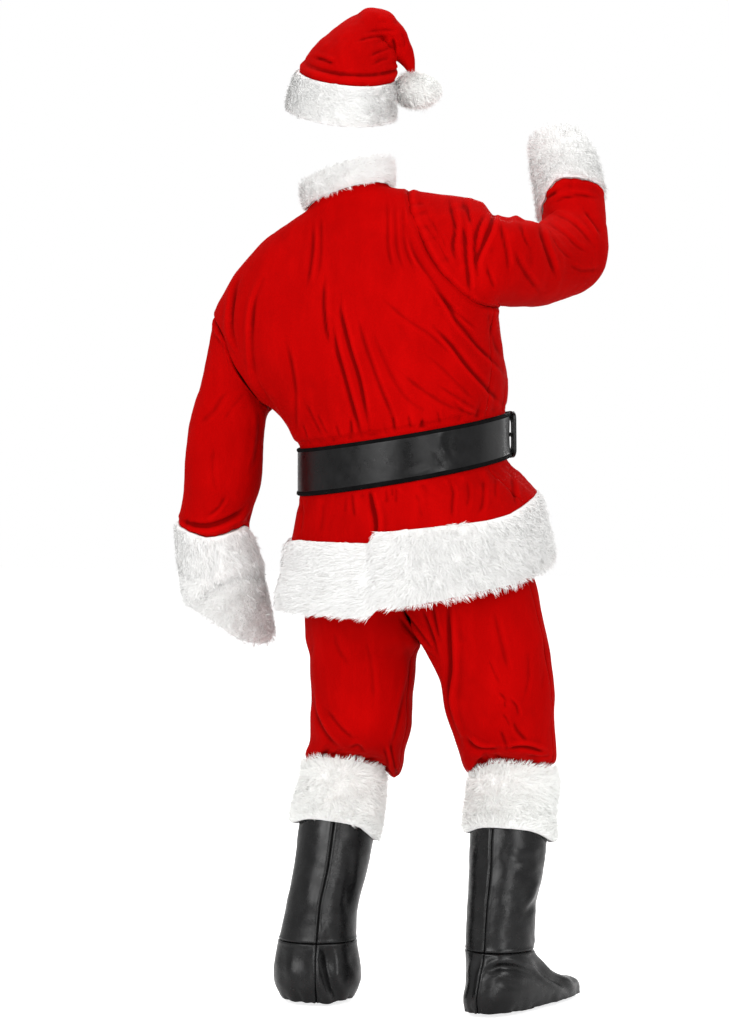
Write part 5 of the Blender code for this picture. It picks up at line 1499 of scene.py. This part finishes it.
# ---------------------------------------------------------------- belt
# Steps of the strap, in degrees: where they begin and over how many they rise.
FUR_STEP = (30.0, 10.0)               # from the closure
LAP_STEP = (24.0, 22.0)               # before the strap's own start
STRAP_CROWN = 0.0008                  # rise of the strap's middle over its edges
STRAP_EDGE = 0.12                     # share of its height over which its relief fades at each edge
TAPE_SWELL, TAPE_ROUND = 0.0008, 0.0030    # rise of a binding's middle, and its drop to the edges
TAPE_HEIGHT = 1.35                    # a binding's height here as a share of BINDING_HEIGHT


def belt_lift(degrees):
    """Distance of the strap's inner face from the torso's form, over the closure's fur and its own start."""
    over_fur = soft((FUR_STEP[0] - np.abs(np.mod(degrees, 360.0) - CLOSURE)) / FUR_STEP[1])
    over_start = soft((degrees - (BELT_START + 360.0 - LAP_STEP[0])) / LAP_STEP[1])
    return (CLOTH / 2 + BELT_LIFT + (FUR_UNDER_BELT + SEAM / 2) * over_fur
            + (BINDING_THICK + SEAM) * over_start)


def strap_height(across, grid, normals):
    """The strap's face: a little crowned, with its creases."""
    ends = np.minimum(1.0, np.minimum(across, 1 - across) / STRAP_EDGE)
    relief = waves(grid, WAVES["strap"]) + drawn_folds(grid, normals, BELT_FOLDS)
    return STRAP_CROWN * np.sin(np.pi * across) + relief * ends


def tape_height(across, grid, normals):
    """A binding's face: rounded over the strap's edge."""
    round_it = 1 - np.sqrt(np.maximum(0.0, 1 - (2 * across - 1) ** 2))
    return TAPE_SWELL - TAPE_ROUND * round_it + waves(grid, WAVES["tape"])


def belt_piece(name, node_name, low, high, rows, height_of, thick, looks):
    """The strap or a binding, from one ring number of the torso to another."""
    degrees = BELT_START + np.linspace(0.0, 360.0 + TAIL, 261)
    grid, normals = body_grid(np.linspace(low, high, rows), lambda v: degrees)
    grid = grid + normals * belt_lift(degrees)[None, :, None]
    across = np.linspace(0.0, 1.0, rows)[:, None] * np.ones(len(degrees))
    piece = shell(name, grid, normals, height_of(across, grid, normals), looks, face=thick, wall=thick)
    declare(node_name)


def build_belt():
    """The strap, its bindings, and the look of the CAD's own buckle."""
    edge, gap = BINDING_HEIGHT / BELT_HEIGHT, SEAM / BELT_HEIGHT
    belt_piece("belt_strap_leather", "belt_strap", BELT_UNDER + edge - gap * 3, BELT_TOP - edge + gap * 3, 17,
               strap_height, BELT_THICK, [BELT_SKIN, SKIN_BACK])
    for word, low, high in (("under", BELT_UNDER, BELT_UNDER + edge * TAPE_HEIGHT),
                            ("top", BELT_TOP - edge * TAPE_HEIGHT, BELT_TOP)):
        belt_piece(f"belt_tape_{word}", f"belt_binding_{word}", low, high, 9, tape_height, BINDING_THICK,
                   [TAPE, TAPE])
    for name in ("belt_buckle", "belt_prong"):
        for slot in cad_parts[name].material_slots:
            slot.material = MOULDED


# ---------------------------------------------------------------- trousers
LEG_ARC = 0.30                        # metres round half a leg, as its puckers are counted
KNEE_EDGE, TUCK = 11.2, 11.0          # numbers of a leg's sections where it is gathered and tucked in
TUCK_FADE, TUCK_PRESS = 0.6, 0.0006   # sections over which it is pressed in, and how far
BELOW_KNEE = 0.012                    # how far the puckers run on under the knee's edge
INNER_SEAM = 0.006                    # past a leg's half width, so that its halves meet at the inner seam


def strip_grid(sections, ring_of, values):
    """Points and outward normals of an open strip of a tube, for values round each of its sections."""
    step = values[1] - values[0]
    wide = np.concatenate([[values[0] - step], values, [values[-1] + step]])
    points = np.array([ring_of(row, wide) for row in sections])
    middles = np.array([[[row[1], row[2], row[0]]] for row in sections])
    return points[:, 1:-1], outward_normals(points, False, middles)[:, 1:-1]


def leg_points(row, side, share, way):
    """Points of half a leg from the outer seam (share 0) to the seat or inner seam (1)."""
    z, x, y, half, deep, *falls, seam = row
    angle = share * math.acos(-min(1.0, seam / half))
    return placed((x, y, z), side * half * np.cos(angle), way * deep * np.sin(angle), PELVIS_YAW, falls)


def leg_table(side, lower):
    """Sections of one leg: z, x, y, half width, depth, falls, and seam to the leg's middle."""
    rows = []
    for z, x, y, seam, half, deep in HIP_ROWS:
        right, ahead = turned(side * seam, 0.0, PELVIS_YAW)
        rows.append((z, x + right, y + ahead, half, deep, 0.0, 0.0, seam))
    return rows + [(*row, row[3] + INNER_SEAM) for row in lower]


def build_trousers():
    """A back and a front for each leg, gathered at the waist and over the boot covers."""
    for word, side, lower in (("right", 1, RIGHT_LEG), ("left", -1, LEFT_LEG)):
        table = leg_table(side, lower)
        places = np.concatenate([np.linspace(0.0, 5.0, 60)[:-1], np.linspace(5.0, 8.0, 46)[:-1],
                                 np.linspace(8.0, len(table) - 1.0, 54)])
        sections = [blend(table, p) for p in places]
        tucked = soft((places - TUCK) / TUCK_FADE)[:, None]
        for part, way, columns in (("back", -1, 87), ("front", 1, 59)):
            share = np.linspace(0.0, 1.0, columns)
            grid, normals = strip_grid(sections, lambda row, at: leg_points(row, side, at, way), share)
            height = creases(grid, normals, TROUSER_BACK_FOLDS, TROUSER_FRONT_FOLDS)
            height += waves(grid, WAVES[f"trouser_{word}"])
            arc, run = even_arc(grid, LEG_ARC), arc_along(grid, 0)
            rise = run[int(np.interp(KNEE_EDGE, places, np.arange(len(places))))] - run
            knee = puckers(arc, rise, LEG_ARC * 2, *GATHERS[f"knee_{word}_{part}"])
            height += knee * (rise > -BELOW_KNEE)
            height += puckers(arc, run, LEG_ARC * 2, *GATHERS[f"waist_{part}"])
            height += seam_relief(np.minimum(share, 1 - share) * LEG_ARC, "trouser")
            height = height * (1 - tucked) - TUCK_PRESS * tucked
            grid = shifted(grid, SHIFTS[f"leg_{word}"])
            piece = shell(f"trouser_{word}_{part}_cloth", grid, normals, height, VELOUR, face=0.0)
            declare(f"trouser_{word}_{part}")


def build_waistband():
    """The shirred band round the top of the legs."""
    height, thick, inset = WAISTBAND
    z, x, y, _, half, deep = HIP_ROWS[0]
    angles = np.radians(full_turn(220))
    ring = placed((x, y, z + SEAM), (half - inset) * np.cos(angles), (deep - inset) * np.sin(angles),
                  PELVIS_YAW)
    share = np.linspace(0.0, 1.0, 13)
    grid = np.array([ring + (0, 0, s * height) for s in share])
    arc = arc_along(grid, 1)
    shirred = puckers(arc, np.zeros_like(arc), arc.max(), *GATHERS["waistband"])
    shirred += seam_relief(share[:, None], "waistband")
    piece = shell("waistband_cloth", grid, outward_normals(grid), shirred, VELOUR, face=thick / 2, wall=thick,
                  ring=True)
    declare("trouser_waistband")


# ---------------------------------------------------------------- boot covers
SOLE_ARC = 0.42                       # metres round a foot's lower edge, as its puckers are counted


def boot_ring(row, angles, yaw):
    """A section of a boot cover: 0 is the wearer's right, a quarter turn on the toe."""
    z, x, y, half, heel, toe, *falls = row
    forward = np.sin(angles)
    return placed((x, y, z), half * np.cos(angles), forward * np.where(forward > 0, toe, heel), yaw, falls)


def build_boot_halves(word, shaft, foot, yaw):
    """The outer and inner halves of a shaft and a foot, between their front and back seams."""
    for half, way in (("outer", -1), ("inner", 1)):
        start = SEAM_TURN[word] + way * math.pi / 2
        for part, table, rows, columns in (("shaft", shaft, 85, 57), ("foot", foot, 41, 75)):
            sections = [blend(table, place) for place in np.linspace(0, len(table) - 1, rows)]
            angles = np.linspace(start, start + math.pi, columns)
            grid, normals = strip_grid(sections, lambda row, at: boot_ring(row, at, yaw), angles)
            height = creases(grid, normals, BOOT_BACK_FOLDS, BOOT_FRONT_FOLDS) + waves(grid, WAVES["boot"])
            across, down = arc_along(grid, 1), arc_along(grid, 0)
            up = down[-1:] - down
            height += seam_relief(across, "boot") + seam_relief(across[:, -1:] - across, "boot")
            height += seam_relief(up if part == "shaft" else down, "ankle")
            if part == "foot":
                height += puckers(across, up, SOLE_ARC, *GATHERS["sole"])
            grid = shifted(grid, SHIFTS[f"shaft_{word}"])
            node_name = f"boot_{word}_{part}_{half}"
            piece = shell(f"{node_name}_leather", grid, normals, height, [SKIN, SKIN_BACK], face=0.0,
                          wall=LEATHERETTE)
            declare(node_name)


def build_boot_fur(word, shaft, yaw):
    """The band round the top of a boot cover."""
    columns, rows = 120, 19
    grid = []
    for z in np.linspace(BOOT_FUR_TOP, BOOT_FUR_BOTTOM, rows):
        ring = blend(shaft, np.interp(-z, [-row[0] for row in shaft], range(len(shaft))))
        ring[0] = z
        ring[3:6] += BOOT_FUR_LIFT
        grid.append(boot_ring(ring, np.radians(full_turn(columns) - 90.0), yaw))
    grid = shifted(np.array(grid), SHIFTS[f"boot_{word}"])
    # in the brighter copy of the plush, painted light
    fur_piece(f"boot_{word}_fur", grid, outward_normals(grid), band_thickness(rows, columns),
              comb_boot, look=PAINTED_BRIGHT_WHITE)


def build_boot_strap(word, foot, yaw):
    """The ribbed elastic under the shoe."""
    _, x, y, half, *_ = foot[-1]
    width, thick = STRAP
    along, across = np.meshgrid(np.linspace(-1.0, 1.0, 61), np.linspace(-1.0, 1.0, 9), indexing="ij")
    reach = (half - LEATHERETTE) * STRAP_REACH - SEAM
    z = STRAP_BASE + STRAP_RISE * np.abs(along) ** 6
    grid = placed((x, y, z), along * reach, STRAP_AHEAD + across * width / 2, yaw)
    upward = np.zeros_like(grid) + (0.0, 0.0, 1.0)
    ribs = 0.00025 * np.sin(np.linspace(0, 120, len(grid)))[:, None]
    piece = shell(f"boot_{word}_elastic", grid, upward, ribs, [TAPE, TAPE], face=0.0, wall=thick)
    declare(f"boot_{word}_strap")


# ---------------------------------------------------------------- hat
ROLLED_FROM, ROLLED_TO = (298.0, 26.0), (398.0, 14.0)    # places across and fades of the crown's groove
ROLLED_PAST = 0.3                     # share of the groove that is left beyond
TIP_FADE = 0.03                       # folds fade nearer than this to the crown's middle line
ROLL, PITCH = math.radians(HAT_ROLL), math.radians(HAT_PITCH)
HAT_UP = unit(np.array((-math.sin(ROLL), -math.sin(PITCH) * math.cos(ROLL),
                        math.cos(PITCH) * math.cos(ROLL))))


def hat_rings(sections, facets, tilt):
    """Rings of the hat; the first ones keep the tilt of the head band."""
    middles = np.array([row[:3] for row in sections])
    rings = []
    for k, row in enumerate(sections):
        path = unit(middles[min(k + 1, len(middles) - 1)] - middles[max(k - 1, 0)])
        share = min(1.0, max(0.0, (k - tilt[0]) / (tilt[1] - tilt[0])))
        axis = unit(HAT_UP * (1 - share) + path * share)
        back = unit(np.array([0.0, -1.0, 0.0]) + axis * axis[1])
        rings.append(ellipse(row, np.cross(back, axis), -back, facets))
    return rings


def build_hat():
    """The head band's fur, and the crown folded over to the pompom."""
    facets, rows = 150, 17
    band = resample(hat_rings(HAT_BAND, facets, (10, 11)), rows)
    normals = flattened(outward_normals(band), -1, HAT_UP)
    fur_piece("hat_fur", band, normals, band_thickness(rows, facets), comb_hat)

    edge = band[-1] + normals[-1] * CLOTH / 2 + HAT_UP * EDGE_SEAM
    tip = np.array(POMPOM) + unit(np.array(POMPOM_SEAT)) * (np.array(POMPOM_SIZE) + POMPOM_GAP)
    sections = (*HAT_CROWN, (*tip, HAT_TIP_RADIUS, HAT_TIP_RADIUS))
    crown = resample([edge] + hat_rings(sections, facets, (0, 3)), 105)
    normals = flattened(outward_normals(crown), 0, HAT_UP)
    run = arc_along(crown, 0)
    across, _ = drawing(crown)
    height = creases(crown, normals, HAT_FOLDS, HAT_FRONT_FOLDS) + waves(crown, WAVES["hat"])
    height += drawn_folds(crown, normals, HAT_SWELLS, None)
    before = soft((ROLLED_TO[0] - across) / ROLLED_TO[1])
    rolled = soft((across - ROLLED_FROM[0]) / ROLLED_FROM[1]) * (ROLLED_PAST + (1 - ROLLED_PAST) * before)
    height += seam_relief(run, "hat_roll") + seam_relief(run, "hat_groove") * rolled
    from_middle = np.linalg.norm(crown - crown.mean(axis=1, keepdims=True), axis=-1)
    height *= np.minimum(1.0, from_middle / TIP_FADE)
    piece = shell("hat_crown_cloth", shifted(crown, SHIFTS["hat"]), normals, height, VELOUR,
                  ring=True, tip=True)
    declare("hat_crown")


def build_pompom():
    """The pompom: a soft core and its pile."""
    rows, columns = 25, 48
    u = np.linspace(0.04, math.pi - 0.04, rows)[:, None]
    v = np.radians(full_turn(columns))[None, :]
    way = np.stack([np.sin(u) * np.cos(v), np.sin(u) * np.sin(v), np.cos(u) * np.ones_like(v)], axis=-1)
    size = np.array(POMPOM_SIZE)
    grid = np.array(POMPOM) + np.array(POMPOM_SHIFT) + way * size * np.array(POMPOM_CORE)
    normals = unit(way / size)
    points = grid + normals * waves(grid, WAVES["pompom"])[..., None]
    at = closed(np.arange(rows * columns).reshape(rows, columns))
    faces = quads(at).tolist() + [at[0, -2::-1].tolist(), at[-1, :-1].tolist()]
    core = add_piece("hat_pompom_core", points.reshape(-1, 3), faces, [WHITE_BACK])
    declare("hat_pompom")
    # its pile is in the brighter copy of the plush, painted light
    pile("hat_pompom", grid, normals, np.full((rows, columns), 0.004), True, comb_pompom, PAINTED_BRIGHT_WHITE)


# ---------------------------------------------------------------- the suit
SLEEVES = {   # side: armhole, its angle round the torso, sections, facets and spacing of points
    "left": (LEFT_HOLE, 180.0, LEFT_SLEEVE, 150, 0.0030),
    "right": (RIGHT_HOLE, 360.0, RIGHT_SLEEVE, 184, 0.0033),
}
CUFFS = {     # side: sections, facets, rows of points and comb
    "left": (LEFT_CUFF, 150, 27, comb_left_cuff),
    "right": (RIGHT_CUFF, 184, 21, comb_right_cuff),
}
build_jacket()
sleeve_ends = {word: build_sleeve(word, *sleeve) for word, sleeve in SLEEVES.items()}
for word, cuff in CUFFS.items():
    build_cuff(word, sleeve_ends[word], *cuff)
build_hem_fur()
build_front_fur()
build_collar()
build_belt()
build_trousers()
build_waistband()
for word, shaft, foot, yaw in (("right", RIGHT_BOOT, RIGHT_FOOT, RIGHT_FOOT_YAW),
                               ("left", LEFT_BOOT, LEFT_FOOT, LEFT_FOOT_YAW)):
    build_boot_halves(word, shaft, foot, yaw)
    build_boot_fur(word, shaft, yaw)
    build_boot_strap(word, foot, yaw)
build_hat()
build_pompom()

# ---------------------------------------------------------------- floor, light and camera
FLOOR_REACH, FLOOR_GAP = 30.0, 0.0005
FLOOR_GLOW, WORLD_LIGHT = 0.78, 0.60
PLAIN_WHITE = (1.0, 1.0, 1.0, 1.0)
SOFTBOXES = (   # name, place, aim, size and power, in the drafting frame
    ("key_light", (2.3, -3.2, 2.7), (0.0, 0.0, 0.95), (1.8, 2.4), 72.0),
    ("fill_light", (-2.2, -3.2, 2.0), (0.0, 0.0, 0.95), (2.0, 2.4), 84.0),
    ("low_light", (1.2, -4.2, 0.6), (0.0, 0.0, 0.50), (0.8, 1.1), 24.0),
    ("top_light", (0.0, 0.6, 3.6), (0.0, 0.0, 0.9), (2.4, 2.4), 40.0),
    ("far_light", (0.4, 3.6, 2.2), (0.0, 0.0, 0.95), (2.4, 2.4), 70.0),
)

scene = bpy.context.scene
scene.view_settings.view_transform = "Standard"
floor_mesh = bpy.data.meshes.new("studio_floor")
corners = [(sx * FLOOR_REACH, sy * FLOOR_REACH, -NECK[2] - FLOOR_GAP)
           for sx, sy in ((-1, -1), (1, -1), (1, 1), (-1, 1))]
floor_mesh.from_pydata(corners, [], [(0, 1, 2, 3)])
pale, pale_tree, wire_pale = new_material("pale_floor", 0.9, 0.0, Base_Color=(0.80, 0.80, 0.80, 1.0),
                                          Emission_Color=PLAIN_WHITE)
seen_straight = node(pale_tree, "ShaderNodeLightPath").outputs["Is Camera Ray"]
wire_pale(Emission_Strength=span(pale_tree, seen_straight, 0.0, 1.0, 0.0, FLOOR_GLOW))
floor_mesh.materials.append(pale)
link_object("studio_floor", floor_mesh)

# The world lights the suit at a share of the brightness that the camera sees behind it.
world = bpy.data.worlds.new("studio")
scene.world = world
world.use_nodes = True
tree = world.node_tree
lit = tree.nodes["Background"]
lit.inputs["Color"].default_value = PLAIN_WHITE
lit.inputs["Strength"].default_value = WORLD_LIGHT
shown = node(tree, "ShaderNodeBackground", [("Color", PLAIN_WHITE), ("Strength", 1.0)])
seen_straight = node(tree, "ShaderNodeLightPath").outputs["Is Camera Ray"]
choice = node(tree, "ShaderNodeMixShader", [],
              [(0, seen_straight), (1, lit.outputs[0]), (2, shown.outputs[0])])
tree.links.new(choice.outputs[0], tree.nodes["World Output"].inputs["Surface"])

for name, place, aim, size, power in SOFTBOXES:
    lamp = bpy.data.lights.new(name, "AREA")
    lamp.shape = "RECTANGLE"
    lamp.size, lamp.size_y = size
    lamp.energy = power
    place, aim = to_row(place), to_row(aim)
    back_way = unit(place - aim)
    right = unit(np.cross((0.0, 0.0, 1.0), back_way))
    axes = np.stack([right, np.cross(back_way, right), back_way, place], axis=1)
    link_object(name, lamp).matrix_world = Matrix([*axes.tolist(), [0, 0, 0, 1]])

camera_data = bpy.data.cameras.new("camera")
camera_data.sensor_width = 36.0
camera_data.lens = 93.5
camera = link_object("camera", camera_data)
camera.location = to_row(EYE)
camera.rotation_euler = (math.radians(90.0), 0.0, TURN)
scene.camera = camera

bpy.context.view_layer.update()
